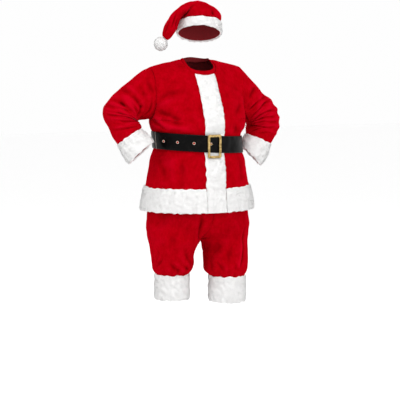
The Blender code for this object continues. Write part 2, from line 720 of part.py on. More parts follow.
def buckle(material):
    """A flat rectangular frame with its corners cut off a little."""
    w, h = BUCKLE_SIZE[0] / 2, BUCKLE_SIZE[1] / 2
    curve = bpy.data.curves.new("belt_buckle", "CURVE")
    curve.dimensions = "2D"
    curve.fill_mode = "BOTH"
    curve.extrude = BUCKLE_THICK / 2 - BUCKLE_BEVEL
    curve.bevel_depth = BUCKLE_BEVEL
    curve.bevel_resolution = 1
    curve.offset = -BUCKLE_BEVEL
    for half_w, half_h, cut in ((w, h, 0.006), (w - BUCKLE_BAR, h - BUCKLE_BAR, 0.002)):
        corners = (
            (half_w, -half_h + cut), (half_w, half_h - cut), (half_w - cut, half_h),
            (-half_w + cut, half_h), (-half_w, half_h - cut), (-half_w, -half_h + cut),
            (-half_w + cut, -half_h), (half_w - cut, -half_h),
        )
        spline = curve.splines.new("POLY")
        spline.points.add(len(corners) - 1)
        for point, corner in zip(spline.points, corners):
            point.co = (*corner, 0.0, 1.0)
        spline.use_cyclic_u = True
    at = Matrix.Translation((BUCKLE_CENTRE[0], BUCKLE_BACK - BUCKLE_THICK / 2, BUCKLE_CENTRE[1]))
    return placed("belt_buckle", curve, at @ Matrix.Rotation(np.pi / 2, 4, "X"), material)


def prong(material):
    """A short tapered stud from the frame's side bar onto the strap."""
    start = BUCKLE_CENTRE[0] - BUCKLE_SIZE[0] / 2 + BUCKLE_BAR + GAP
    at = Matrix.Translation((start + PRONG_LENGTH / 2, BUCKLE_BACK - PRONG_OUT, PRONG_HEIGHT))
    shape = bmesh.new()
    bmesh.ops.create_cone(shape, cap_ends=True, segments=12, radius1=PRONG_RADIUS,
                          radius2=PRONG_RADIUS * 0.62, depth=PRONG_LENGTH)
    mesh = bpy.data.meshes.new("belt_prong")
    shape.to_mesh(mesh)
    shape.free()
    return placed("belt_prong", mesh, at @ Matrix.Rotation(np.pi / 2, 4, "Y"), material)


def eyelet(name, degrees, outer, material):
    """A brass ring turned from a small profile, lying flat on the strap's outer face."""
    column_at = int((degrees - STRAP_START) // STRAP_STEP)
    share = (degrees - STRAP_START) / STRAP_STEP - column_at
    row = outer[1]
    spot = row[column_at] * (1 - share) + row[column_at + 1] * share
    along = Vector(row[column_at + 1] - row[column_at]).normalized()
    rise = Vector(outer[2, column_at:column_at + 2].sum(axis=0)
                  - outer[0, column_at:column_at + 2].sum(axis=0))
    out = along.cross(rise).normalized()
    up = out.cross(along)
    at = Matrix((along, up, out)).transposed().to_4x4()
    at.translation = Vector(spot) + out * GAP
    profile = ((EYELET_RADIUS, 0.0), (EYELET_RADIUS - 0.0006, EYELET_THICK),
               (EYELET_HOLE + 0.0006, EYELET_THICK), (EYELET_HOLE, 0.0))
    mesh = bpy.data.meshes.new(name)
    mesh.from_pydata([(r, 0.0, z) for r, z in profile], [(0, 1), (1, 2), (2, 3), (3, 0)], [])
    obj = placed(name, mesh, at, material)
    turned = obj.modifiers.new("turned", "SCREW")
    turned.axis = "Z"
    turned.steps = turned.render_steps = 16
    turned.use_merge_vertices = True
    turned.merge_threshold = 0.00001
    turned.use_normal_flip = True
    return obj


def pompom(material):
    """A ball of fur at the end of the tail."""
    turn = np.radians(HAT_TURN)
    right = np.array((np.cos(turn), np.sin(turn), 0.0))
    toward = np.array((np.sin(turn), -np.cos(turn), 0.0))
    centre = np.array((*HAT_CENTRE, POMPOM[2])) + POMPOM[0] * right + POMPOM[1] * toward
    shape = bmesh.new()
    bmesh.ops.create_uvsphere(shape, u_segments=18, v_segments=10, radius=POMPOM_RADIUS)
    mesh = bpy.data.meshes.new("hat_pompom")
    shape.to_mesh(mesh)
    shape.free()
    return placed("hat_pompom", mesh, Matrix.Translation(centre), material)


def finish(name, colour, roughness, metallic=0.0):
    material = bpy.data.materials.new(name)
    material.use_nodes = True
    shader = material.node_tree.nodes["Principled BSDF"]
    shader.inputs["Base Color"].default_value = (*colour, 1.0)
    shader.inputs["Roughness"].default_value = roughness
    shader.inputs["Metallic"].default_value = metallic
    return material


for old in list(bpy.data.objects):
    bpy.data.objects.remove(old)
SUIT = bpy.data.collections.new("santa_suit")
bpy.context.scene.collection.children.link(SUIT)

half = GAP / 2
low = len(BODY_ROWS) - 1
front, nf, back, nb = jacket_body()
loops = {side: armhole(front, back, side) for side in (-1, 1)}
sleeves = {
    side: sleeve(side, rows, folds, loops[side])
    for side, rows, folds in (
        (-1, RIGHT_SLEEVE_ROWS, RIGHT_SLEEVE_FOLDS),
        (1, LEFT_SLEEVE_ROWS, LEFT_SLEEVE_FOLDS),
    )
}
for side, (rings, n) in sleeves.items():
    f, b = (-1, 0) if side > 0 else (0, -1)
    order = np.arange(SLEEVE_AROUND) if side > 0 else (-np.arange(SLEEVE_AROUND)) % SLEEVE_AROUND
    first = n[0, order]
    down = nf[low:, f][::-1]
    up = nb[low:, b]
    body = np.concatenate([down, up[1:-1]])
    shared = unit(first + body)
    n[0, order] = shared
    nf[low:, f] = shared[:HIGH_ROWS + 1][::-1]
    nb[low + 1:-1, b] = shared[HIGH_ROWS + 1:]
    nb[low, b] = shared[HIGH_ROWS]
    nb[-1, b] = shared[0]
    rings[0, :, 0] += side * 0.0016

mid = HALF_COLUMNS
for name, part, n, edges in (
    ("jacket_front_right", front[:, :mid + 1], nf[:, :mid + 1], (half, half)),
    ("jacket_front_left", front[:, mid:], nf[:, mid:], (half, half)),
    ("jacket_back", back, nb, (half, half)),
):
    red = finish(name, RED, 0.8)
    part = drawn_in(part, left=edges[0], right=edges[1], high=half)
    wall(name, part, part - n * CLOTH, red)

for side, label in ((-1, "right"), (1, "left")):
    rings, n = sleeves[side]
    wall(f"sleeve_{label}", rings, rings - n * CLOTH,
         finish(f"sleeve_{label}", RED, 0.8), closed=True)
    start = SLEEVE_STEPS - 1
    cuff_on(rings, n, start, finish(f"cuff_{label}", WHITE, 0.9), f"cuff_{label}")

both = np.concatenate([front, nf], axis=-1)
sides = row_at(both, np.array((-BAND_HALF, BAND_HALF)))
lie = np.concatenate([sides[:, :1], both[:, mid - 1:mid + 2], sides[:, 1:]], axis=1)
base, n = lie[..., :3], unit(lie[..., 3:])
heights = base[:, 2, 2]
pressed = step((heights - 1.085) / 0.02) * (1 - step((heights - 1.236) / 0.03))
thick = (FUR - 0.002) * (1 - pressed) + 0.004 * pressed
soft = np.array((0.55, 1.0, 1.0, 1.0, 0.55))
body = n * (thick[:, None] * soft[None])[..., None]
wall("front_band", base + n * 2 * LIE + body, base + n * 2 * LIE, finish("front_band", WHITE, 0.9))

edge = BAND_HALF + 0.0006
rows_up = 3
keep_left = front[0, :, 0] > edge + 0.006
keep_right = front[0, :, 0] < -edge - 0.006
left = row_at(both[:rows_up], np.array((edge,)))
right = row_at(both[:rows_up], np.array((-edge,)))
back_both = np.concatenate([back, nb], axis=-1)
strip = np.concatenate([
    left, both[:rows_up, keep_left], back_both[:rows_up, 1:-1],
    both[:rows_up, keep_right], right,
], axis=1)
base, n = strip[..., :3], unit(strip[..., 3:])
thick = FUR * np.array((0.7, 1.0, 0.7))[:, None, None]
wall("hem_band", base + n * (LIE + thick), base + n * LIE, finish("hem_band", WHITE, 0.9))

neck = np.abs(np.linspace(-1, 1, 2 * mid + 1)) <= NECK_SHARE + 1e-9
fore, aft = front[-1, neck], back[-1, neck]
k = len(fore) // 2
ends = [fore[k] * 0.95 + fore[k + i] * 0.05 for i in (1, -1)]
line = np.concatenate([ends[:1], fore[k + 1:], aft[1:-1], fore[:k], ends[1:]])
middle = np.array((0.0, line[:, 1].mean(), 0.0))
flat = (line - middle) * (1, 1, 0)
ring = np.array([
    line - flat * 0.05 * level + np.array((0, 0, 0.0006 + NECK_BAND_HEIGHT * level))
    for level in (0.0, 0.5, 1.0)
])
inner = ring - unit(flat)[None] * CLOTH
wall("neck_band", ring, inner, finish("neck_band", RED, 0.8))

grids, ns = trousers()
for (side, is_back), grid in grids.items():
    label = ("back" if is_back else "front") + ("_left" if side > 0 else "_right")
    n = ns[side, is_back]
    part = drawn_in(grid, left=half, right=half)
    wall(f"trouser_{label}", part, part - n * CLOTH, finish(f"trouser_{label}", RED, 0.8))
for side, label in ((-1, "right"), (1, "left")):
    f, b = grids[side, False][:4], grids[side, True][:4]
    n1, n2 = ns[side, False][:4], ns[side, True][:4]
    ring = np.concatenate([f[:, :-1], b[:, :-1]], axis=1)
    n = np.concatenate([n1[:, :-1], n2[:, :-1]], axis=1)
    if side < 0:
        ring = np.concatenate([f[:, :-1], b[:, :-1]], axis=1)
    thick = FUR * np.array((0.7, 1.0, 1.0, 0.6))[:, None, None]
    wall(f"trouser_cuff_{label}", ring + n * (LIE + thick), ring + n * LIE,
         finish(f"trouser_cuff_{label}", WHITE, 0.9), closed=True)
turn = 2 * np.pi * np.arange(32) / 32
top_row = HIP_ROWS[-1]
band = np.array([
    np.stack([
        MIDDLE_SEAM + (top_row[1] - 0.002 * k) * np.sin(turn),
        -np.where(np.cos(turn) > 0, top_row[2], top_row[3]) * np.cos(turn) * (1 - 0.01 * k),
        top_row[0] + 0.0004 + WAISTBAND * k + 0 * turn,
    ], axis=-1)
    for k in (0, 1)
])
wall("trouser_waistband", band, band - normals(band, closed=True) * CLOTH,
     finish("trouser_waistband", RED, 0.8), closed=True)

hat = hat_rings()
hat_n = normals(hat, closed=True)
wall("hat_crown", hat, hat - hat_n * CLOTH, finish("hat_crown", RED, 0.8), closed=True)
thick = FUR * np.array((0.7, 1.0, 0.7))[:, None, None]
base, n = hat[:HAT_BAND_ROWS], hat_n[:HAT_BAND_ROWS]
wall("hat_band", base + n * (LIE + thick), base + n * LIE,
     finish("hat_band", WHITE, 0.9), closed=True)
pompom(finish("hat_pompom", WHITE, 0.9))

inner, outer = strap_faces()
wall("belt_strap", outer, inner, finish("belt_strap", BLACK, 0.4))
buckle(finish("belt_buckle", BRASS, 0.35, 1.0))
prong(finish("belt_prong", BRASS, 0.35, 1.0))
for number, degrees in enumerate(EYELET_ANGLES, 1):
    eyelet(f"eyelet_{number}", degrees, outer, finish(f"eyelet_{number}", BRASS, 0.35, 1.0))
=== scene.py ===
"""Dresses the santa suit: red plush jacket, trousers and hat, white fur, belt and buckle.

Every piece is a surface worked out over two parameters and laid on the frame that the solids
give. Tables hold thousandths: millimetres, or shares of a length or turn. Heights are above the
floor, and HOLD takes them to the frame's z.
"""

from __future__ import annotations

import logging
from dataclasses import dataclass, field
from enum import Enum
from typing import Optional, Sequence, Union

import bpy
import numpy as np
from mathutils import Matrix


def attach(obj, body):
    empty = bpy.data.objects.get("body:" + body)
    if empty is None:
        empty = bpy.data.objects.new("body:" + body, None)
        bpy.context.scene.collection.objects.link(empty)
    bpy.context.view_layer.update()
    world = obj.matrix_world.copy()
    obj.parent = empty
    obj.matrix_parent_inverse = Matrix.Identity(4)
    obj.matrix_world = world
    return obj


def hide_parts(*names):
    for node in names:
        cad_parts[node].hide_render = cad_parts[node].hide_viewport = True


LOG = logging.getLogger("santa_suit")
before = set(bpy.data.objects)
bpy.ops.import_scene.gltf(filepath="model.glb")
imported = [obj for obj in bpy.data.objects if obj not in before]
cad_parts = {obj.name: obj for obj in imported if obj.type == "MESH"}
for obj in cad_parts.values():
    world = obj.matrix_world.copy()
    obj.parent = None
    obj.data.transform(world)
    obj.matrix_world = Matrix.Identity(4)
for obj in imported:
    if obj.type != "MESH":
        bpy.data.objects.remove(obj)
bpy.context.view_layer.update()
Array = np.ndarray
Point = tuple[float, float, float]
Table = tuple[tuple[float, ...], ...]
Colour = tuple[float, ...]
Material = bpy.types.Material
Thing = bpy.types.Object
HOLD = 1.54  # height of the frame's origin above the floor
CLOTH = 0.0025  # thickness of the plush with its back
LIE = 0.0006  # how far fur lies off the cloth that it is sewn to
PAINTED_SHADE_DEPTH = 0.0078  # the crease depth at which the painted shade of a trough and the painted highlight of a ridge are full
SEED = 24
UP = (0.0, 0.0, 1.0)
DOWN = (0.0, 0.0, -1.0)


class Side(Enum):
    """The wearer's side that a piece belongs to."""

    RIGHT = -1
    LEFT = 1


class Held(Enum):
    """How a sheet of cloth is held."""

    DRAPED = "draped"
    HUNG = "hung"
    GATHERED = "gathered"


# ---------------------------------------------------------------------- number work


def curve(at: Array, xs: Array, ys: Array) -> Array:
    """A Hermite curve through points: h00 y0 + h10 w m0 + h01 y1 + h11 w m1.

    Args:
        at: Where it is read.
        xs: The points' places, growing.
        ys: Their values.

    Returns:
        The curve's values.
    """
    at = np.asarray(at, float)
    slope = np.gradient(ys, xs)
    i = np.clip(np.searchsorted(xs, at) - 1, 0, len(xs) - 2)
    width = xs[i + 1] - xs[i]
    t = np.clip((at - xs[i]) / width, 0, 1)
    return (
        (1 + 2 * t) * (1 - t) ** 2 * ys[i]
        + t * (1 - t) ** 2 * width * slope[i]
        + t * t * (3 - 2 * t) * ys[i + 1]
        + t * t * (t - 1) * width * slope[i + 1]
    )


def table(rows: Table, at: Array) -> list[Array]:
    """The other columns of a table in thousandths, as smooth curves over its first one."""
    data = np.array(rows).T / 1000
    return [curve(at, data[0], column) for column in data[1:]]


def spaced(data: Array, at: Array) -> list[Array]:
    """A table's columns as smooth curves over the number of the row."""
    return [curve(at, np.arange(float(len(data))), column) for column in data.T]


def unit(v: Array) -> Array:
    """Each vector at length one."""
    return v / np.maximum(np.linalg.norm(v, axis=-1, keepdims=True), 1e-12)


def ease(t: Array) -> Array:
    """The smooth step 3t^2 - 2t^3 from nought to one."""
    t = np.clip(t, 0, 1)
    return t * t * (3 - 2 * t)


def lumps(points: Array, scale: float, seed: int, waves: int = 9) -> Array:
    """Soft seeded unevenness in space, the mean of sine waves in random directions.

    Args:
        points: Where it is read, in metres.
        scale: The mean length of a wave, in metres.
        seed: Which pattern.
        waves: How many waves are added up.

    Returns:
        Values about nought, mostly between -1 and 1.
    """
    rng = np.random.default_rng(seed)
    way = unit(rng.normal(size=(waves, 3))) * rng.uniform(0.7, 1.6, (waves, 1))
    phase = rng.uniform(0, 2 * np.pi, waves)
    turns = points @ way.T * (2 * np.pi / scale) + phase
    return np.sin(turns).sum(-1) / np.sqrt(waves)


def bell(distance: Array, width: float) -> Array:
    """The bell curve exp(-(distance / width)^2)."""
    return np.exp(-((distance / width) ** 2))


def between(at: Array, start: float, rise: float, end: float, fall: float) -> Array:
    """A share that rises from start on and falls from end on:
    ease((at - start) / rise) * (1 - ease((at - end) / fall))."""
    return ease((at - start) / rise) * (1 - ease((at - end) / fall))


def circle(count: int) -> Array:
    """A full turn in equal steps, in radians."""
    return 2 * np.pi * np.arange(count) / count


def looped(grid: Array) -> Array:
    """A grid with its first column again at its end."""
    return np.concatenate([grid, grid[:, :1]], axis=1)


def numbered(rows: int, columns: int) -> Array:
    """The numbers of a grid's points."""
    return np.arange(rows * columns).reshape(rows, columns)


def crossed(p: Array) -> Array:
    """Twice the area of each quad of a grid: the length of its crossed diagonals' product."""
    return np.linalg.norm(np.cross(p[1:, 1:] - p[:-1, :-1], p[1:, :-1] - p[:-1, 1:]), axis=-1)


def tube(centre: Array, across: Array, forward: Array, angle: Array) -> Array:
    """Rings c + a cos t + f sin t."""
    turn = angle[None, :, None]
    return centre[:, None] + across[:, None] * np.cos(turn) + forward[:, None] * np.sin(turn)


def grid_normals(grid: Array, closed: bool = False) -> Array:
    """Normals of a grid: the step along a row crossed with the step up the rows.

    Args:
        grid: The grid's points.
        closed: Whether its rows go all round.

    Returns:
        The normals.
    """
    if closed:
        across = np.roll(grid, -1, axis=1) - np.roll(grid, 1, axis=1)
    else:
        across = np.gradient(grid, axis=1)
    return unit(np.cross(across, np.gradient(grid, axis=0)))


def read_rows(points: Array, x: Array) -> Array:
    """Points at x along rows whose own x grows, by straight steps between columns.

    Args:
        points: Rows of points, with anything else that they carry after x.
        x: One value for each row and wanted column.

    Returns:
        The same values at x.
    """
    count = points.shape[1]
    key = points[..., 0]
    above = np.clip((key[:, None, :] < x[..., None]).sum(-1), 1, count - 1)
    low = np.take_along_axis(key, above - 1, 1)
    high = np.take_along_axis(key, above, 1)
    share = ((x - low) / (high - low))[..., None]
    first = np.take_along_axis(points, (above - 1)[..., None], 1)
    second = np.take_along_axis(points, above[..., None], 1)
    return first * (1 - share) + second * share


@dataclass(frozen=True)
class Lumps:
    """Soft unevenness: its size, the distance between its bumps, and which scatter."""

    size: float
    scale: float
    seed: int

    def at(self, points: Array) -> Array:
        """Its value at each point."""
        return self.size * lumps(points, self.scale, self.seed)


@dataclass(frozen=True)
class Gather:
    """Fine pleats that crowd and spread: size * sin(x / step + sway * sin(x / slow + phase))."""

    size: float
    step: float
    sway: float
    slow: float

    def at(self, x: Array, phase: float = 0.0) -> Array:
        """Their lift at x."""
        return self.size * np.sin(x / self.step + self.sway * np.sin(x / self.slow + phase))


@dataclass(frozen=True)
class Crease:
    """A crease along a line from one (u, v) to another: a ridge where depth is over nought, a
    trough where it is under, with low shoulders on both sides of it."""

    u0: float
    v0: float
    u1: float
    v1: float
    width: float
    depth: float
    bow: float = 0.0
    shoulders: float = 0.0

    def lift(self, u: Array, v: Array, period: float = 0.0) -> Array:
        """How far the crease moves the surface out: depth * fade * bell(distance / width),
        less shoulders * bell((distance - 2.1 width) / width), round a bowed line.

        Args:
            u: The first way's values.
            v: The second way's values.
            period: The length after which u repeats, or nought.

        Returns:
            The lift at each point.
        """
        du, dv = self.u1 - self.u0, self.v1 - self.v0
        gap = u - self.u0
        if period:
            gap = (gap - du / 2 + period / 2) % period - period / 2 + du / 2
        size = du * du + dv * dv
        t = (gap * du + (v - self.v0) * dv) / size
        near = np.clip(t, 0, 1)
        arch = self.bow * 4 * near * (1 - near) / np.sqrt(size)
        off_u = gap - near * du + dv * arch
        off_v = v - self.v0 - near * dv - du * arch
        off = np.hypot(off_u, off_v)
        fade = np.sin(np.pi * np.clip(0.12 + 0.76 * near, 0, 1)) ** 0.7
        beside = bell(off - 2.1 * self.width, self.width)
        return self.depth * fade * (bell(off, self.width) - self.shoulders * beside)


def creased(rows: Table, u: Array, v: Array, period: float = 0.0) -> Array:
    """The lifts of creases added up.

    Args:
        rows: A row for each Crease, with its values in thousandths.
        u: The first way's values.
        v: The second way's values.
        period: The length after which u repeats, or nought.

    Returns:
        The lift at each point.
    """
    total = np.zeros(np.broadcast(u, v).shape)
    for row in rows:
        total = total + Crease(*(number / 1000 for number in row)).lift(u, v, period)
    return total


# ---------------------------------------------------------------------- materials


class Value:
    """A shader socket that can be used in sums. Numbers alone stay Python numbers."""

    def __init__(self, graph: "Graph", socket: bpy.types.NodeSocket) -> None:
        """Keeps the socket and the graph that it is in."""
        self.graph = graph
        self.socket = socket

    def _math(self, how: str, a: object, b: object) -> "Value":
        """One Math node on two operands."""
        return self.graph.node("ShaderNodeMath", {"operation": how}, {0: a, 1: b})

    def __add__(self, other: object) -> "Value":
        """self + other."""
        return self._math("ADD", self, other)

    def __radd__(self, other: object) -> "Value":
        """other + self."""
        return self._math("ADD", other, self)

    def __rsub__(self, other: object) -> "Value":
        """other - self."""
        return self._math("SUBTRACT", other, self)

    def __mul__(self, other: object) -> "Value":
        """self * other."""
        return self._math("MULTIPLY", self, other)


class Graph:
    """The nodes of one material."""

    def __init__(self, name: str) -> None:
        """Starts a material with only its shader and output.

        Args:
            name: Its name.
        """
        self.material = bpy.data.materials.new(name)
        self.material.use_nodes = True
        self.tree = self.material.node_tree
        self.shader = self.tree.nodes["Principled BSDF"]

    def node(
        self, kind: str, settings: Optional[dict] = None, inputs: Optional[dict] = None,
        output: Union[int, str] = 0,
    ) -> Value:
        """Adds any node.

        Args:
            kind: The node's type.
            settings: Its settings. A ramp takes "stops", pairs of place and colour.
            inputs: Values or links for its sockets, by name or number.
            output: The output that is wanted.

        Returns:
            The output's socket.
        """
        made = self.tree.nodes.new(kind)
        for key, setting in (settings or {}).items():
            if key == "stops":
                ramp = made.color_ramp
                for element, (place, _) in zip(ramp.elements, (setting[0], setting[-1])):
                    element.position = place
                for place, _ in setting[1:-1]:
                    ramp.elements.new(place)
                for element, (_, colour) in zip(ramp.elements, setting):
                    element.color = (*colour, 1.0)
            else:
                setattr(made, key, setting)
        for key, given in (inputs or {}).items():
            self.put(made.inputs[key], given)
        return Value(self, made.outputs[output])

    def put(self, socket: bpy.types.NodeSocket, given: object) -> None:
        """Links a value to a socket, or sets the socket to a number or colour."""
        if isinstance(given, Value):
            self.tree.links.new(given.socket, socket)
        else:
            socket.default_value = given

    def surface(self, **inputs: object) -> Material:
        """Sets the shader's sockets, with _ for each space, and returns the material."""
        for key, given in inputs.items():
            self.put(self.shader.inputs[key.replace("_", " ")], given)
        return self.material

    def place(self) -> Value:
        """Object coordinates."""
        return self.node("ShaderNodeTexCoord", output="Object")

    def noise(self, scale: float, detail: float = 3.0, rough: float = 0.55) -> Value:
        """Noise in space, this many times a metre, between nought and one."""
        return self.node(
            "ShaderNodeTexNoise", None,
            {"Vector": self.place(), "Scale": scale, "Detail": detail, "Roughness": rough},
        )

    def ramp(self, factor: Value, *stops: tuple[float, Colour]) -> Value:
        """A colour ramp over these stops."""
        return self.node("ShaderNodeValToRGB", {"stops": stops}, {0: factor})

    def between(self, factor: object, low: object, high: object) -> Value:
        """A mix of two colours."""
        return self.node(
            "ShaderNodeMix", {"data_type": "RGBA"}, {0: factor, 6: low, 7: high}, 2
        )

    def bump(self, height: Value, distance: float, strength: float = 1.0) -> Value:
        """Relief of this depth, in metres."""
        return self.node(
            "ShaderNodeBump", None, {"Height": height, "Distance": distance, "Strength": strength}
        )


def rgb(colour: Sequence[float]) -> tuple[float, float, float, float]:
    """A colour with full alpha."""
    return (colour[0], colour[1], colour[2], 1.0)


@dataclass(frozen=True)
class Plush:
    """Brushed red plush: patches where the nap lies one way or the other, a pile grain and a soft
    sheen, with shade painted darker into its crease troughs and a highlight painted lighter onto
    its crease ridges."""

    deep: Colour = (0.27, 0.0, 0.0022)
    mid: Colour = (0.335, 0.0, 0.0035)
    lit: Colour = (0.41, 0.0, 0.0065)
    # painted shade for crease troughs and painted highlight for crease ridges, mixed in by depth
    painted_trough_shade: Colour = (0.055, 0.0, 0.0)
    painted_ridge_highlight: Colour = (0.52, 0.001, 0.016)
    sheen: float = 0.20

    def make(self, name: str) -> Material:
        """The material.

        Args:
            name: Its name.

        Returns:
            The material.
        """
        g = Graph(name)
        patches = g.noise(26.0, 4.0, 0.6)
        streaks = g.node(
            "ShaderNodeTexNoise", None,
            {"Vector": g.node("ShaderNodeMapping", None,
                              {"Vector": g.place(), "Scale": (95.0, 95.0, 48.0)}),
             "Scale": 1.0, "Detail": 2.0, "Roughness": 0.5},
        )
        pile = g.noise(420.0, 2.0, 0.6)
        nap = patches * 0.46 + streaks * 0.34 + pile * 0.20
        colour = g.ramp(nap, (0.34, self.deep), (0.50, self.mid), (0.68, self.lit))
        # Painted shade and highlight: the creases' depth darkens the colour in troughs and
        # lightens it on ridges.
        fold = g.node("ShaderNodeAttribute", {"attribute_name": "fold"}, None, "Fac")
        colour = g.between(fold * -0.85, colour, rgb(self.painted_trough_shade))
        colour = g.between(fold * 0.45, colour, rgb(self.painted_ridge_highlight))
        relief = g.bump(pile * 0.5 + streaks * 0.5, 0.0014, 0.45)
        return g.surface(
            Base_Color=colour, Roughness=0.92 - nap * 0.22, Normal=relief,
            Sheen_Weight=self.sheen, Sheen_Roughness=0.42, Sheen_Tint=(1.0, 0.01, 0.04, 1.0),
            Specular_IOR_Level=0.0,
        )


@dataclass(frozen=True)
class Backing:
    """The knitted back of the plush, duller and paler than its face."""

    colour: Colour = (0.24, 0.018, 0.022)

    def make(self, name: str) -> Material:
        """The material.

        Args:
            name: Its name.

        Returns:
            The material.
        """
        g = Graph(name)
        knit = g.noise(520.0, 2.0)
        base = g.ramp(knit, (0.35, tuple(c * 0.75 for c in self.colour)), (0.65, self.colour))
        return g.surface(
            Base_Color=base, Roughness=0.95, Normal=g.bump(knit, 0.0006, 0.5),
            Specular_IOR_Level=0.1,
        )


@dataclass(frozen=True)
class FurGround:
    """The dense foot of the white fur under its loose hairs."""

    shade: Colour = (0.785, 0.778, 0.772)
    lit: Colour = (0.85, 0.847, 0.842)

    def make(self, name: str) -> Material:
        """The material.

        Args:
            name: Its name.

        Returns:
            The material.
        """
        g = Graph(name)
        curl = g.noise(150.0, 4.0, 0.65)
        clumps = g.noise(46.0, 2.0, 0.5)
        tone = curl * 0.55 + clumps * 0.45
        return g.surface(
            Base_Color=g.ramp(tone, (0.34, self.shade), (0.56, self.lit)),
            Roughness=0.95, Normal=g.bump(tone, 0.0016, 0.4),
            Sheen_Weight=0.25, Sheen_Roughness=0.5, Specular_IOR_Level=0.15,
        )


@dataclass(frozen=True)
class FurHair:
    """Loose white hairs, with shade painted a little darker at the foot, deep in the pile."""

    # painted shade at the foot of each hair, lightening to the tip
    foot: Colour = (0.825, 0.82, 0.815)
    tip: Colour = (0.885, 0.882, 0.877)

    def make(self, name: str) -> Material:
        """The material.

        Args:
            name: Its name.

        Returns:
            The material.
        """
        g = Graph(name)
        up = g.node("ShaderNodeSeparateXYZ", None, {0: g.node("ShaderNodeUVMap")}, "Y")
        clumps = g.noise(60.0, 2.0, 0.5)
        # Painted shade: darker from the foot up the hair.
        along = g.ramp(up * 0.75 + clumps * 0.35, (0.12, self.foot), (0.62, self.tip))
        return g.surface(
            Base_Color=along, Roughness=0.9, Sheen_Weight=0.2, Sheen_Roughness=0.5,
            Specular_IOR_Level=0.2,
        )


@dataclass(frozen=True)
class Vinyl:
    """Black coated belt strap: a fine grain, soft creases and worn, paler edges."""

    black: Colour = (0.0012, 0.0011, 0.0011)
    worn: Colour = (0.008, 0.007, 0.0066)

    def make(self, name: str) -> Material:
        """The material.

        Args:
            name: Its name.

        Returns:
            The material.
        """
        g = Graph(name)
        grain = g.noise(900.0, 3.0, 0.6)
        scuffs = g.noise(22.0, 5.0, 0.62)
        waves = g.noise(34.0, 1.0)
        colour = g.ramp(scuffs, (0.50, self.black), (0.78, self.worn))
        return g.surface(
            Base_Color=colour, Roughness=0.26 + scuffs * 0.24,
            Normal=g.bump(grain * 0.12 + waves * 0.88, 0.0022, 0.6),
            Specular_IOR_Level=0.07,
        )


@dataclass(frozen=True)
class Brass:
    """Polished brass, duller and browner in patches."""

    bright: Colour = (0.52, 0.37, 0.15)
    aged: Colour = (0.17, 0.105, 0.035)

    def make(self, name: str) -> Material:
        """The material.

        Args:
            name: Its name.

        Returns:
            The material.
        """
        g = Graph(name)
        tarnish = g.noise(95.0, 4.0, 0.65)
        hammered = g.noise(260.0, 2.0)
        return g.surface(
            Base_Color=g.ramp(tarnish, (0.36, self.aged), (0.58, self.bright)),
            Metallic=1.0, Roughness=0.24 + tarnish * 0.30,
            Normal=g.bump(hammered * 0.4 + tarnish * 0.6, 0.0006, 0.5),
        )


@dataclass(frozen=True)
class Matt:
    """A plain matt finish for the floor and the belt's cut edges."""

    colour: Colour
    roughness: float = 0.8
    variation: float = 0.03

    def make(self, name: str) -> Material:
        """The material.

        Args:
            name: Its name.

        Returns:
            The material.
        """
        g = Graph(name)
        mottle = g.noise(3.0 if self.variation < 0.02 else 240.0, 2.0)
        low = tuple(c * (1 - self.variation) for c in self.colour)
        return g.surface(
            Base_Color=g.ramp(mottle, (0.3, low), (0.7, self.colour)), Roughness=self.roughness,
            Specular_IOR_Level=0.2,
        )


# ---------------------------------------------------------------------- cloth and fur


def object_of(
    name: str, points: Array, faces: Sequence[Array], kinds: Sequence[int],
    finishes: Sequence[Material],
) -> Thing:
    """A mesh object from points above the floor and faces of three or four corners.

    Args:
        name: Its name.
        points: Its points.
        faces: Groups of faces, each an array of corner numbers.
        kinds: The finish that each group has.
        finishes: The finishes.

    Returns:
        The object, standing at the frame's origin.
    """
    place = np.asarray(points, float).reshape(-1, 3) - (0.0, 0.0, HOLD)
    corners = np.concatenate([f.reshape(-1) for f in faces]).astype(np.int32)
    sizes = np.concatenate([np.full(len(f), f.shape[1]) for f in faces]).astype(np.int32)
    starts = np.concatenate([[0], np.cumsum(sizes)[:-1]]).astype(np.int32)
    which = np.concatenate([np.full(len(f), k) for f, k in zip(faces, kinds)]).astype(np.int32)
    mesh = bpy.data.meshes.new(name)
    mesh.vertices.add(len(place))
    mesh.vertices.foreach_set("co", place.astype(np.float32).reshape(-1))
    mesh.loops.add(len(corners))
    mesh.loops.foreach_set("vertex_index", corners)
    mesh.polygons.add(len(sizes))
    mesh.polygons.foreach_set("loop_start", starts)
    mesh.polygons.foreach_set("loop_total", sizes)
    for finish in finishes:
        mesh.materials.append(finish)
    mesh.polygons.foreach_set("material_index", which)
    mesh.polygons.foreach_set("use_smooth", np.full(len(sizes), True))
    mesh.update(calc_edges=True)
    mesh.validate()
    obj = bpy.data.objects.new(name, mesh)
    bpy.context.scene.collection.objects.link(obj)
    return obj


def quads(at: Array) -> Array:
    """The faces of a grid of point numbers, facing along the grid's normals."""
    return np.stack([at[:-1, :-1], at[:-1, 1:], at[1:, 1:], at[1:, :-1]], axis=-1).reshape(-1, 4)


def plugged(rings: Array, ends: Array) -> tuple[Array, list[Array]]:
    """A body of closed rings with a point at each end, joined by fans: (e, b, a) at the first
    ring and (e, a, b) at the last.

    Args:
        rings: The rings' points.
        ends: The two end points.

    Returns:
        All the points, and the faces of four corners and of three.
    """
    rows, cols = rings.shape[:2]
    at = looped(numbered(rows, cols))
    first, last = np.full(cols, rows * cols), np.full(cols, rows * cols + 1)
    fans = [np.stack([first, at[0, 1:], at[0, :-1]], -1),
            np.stack([last, at[-1, :-1], at[-1, 1:]], -1)]
    return np.concatenate([rings.reshape(-1, 3), ends]), [quads(at), np.concatenate(fans)]


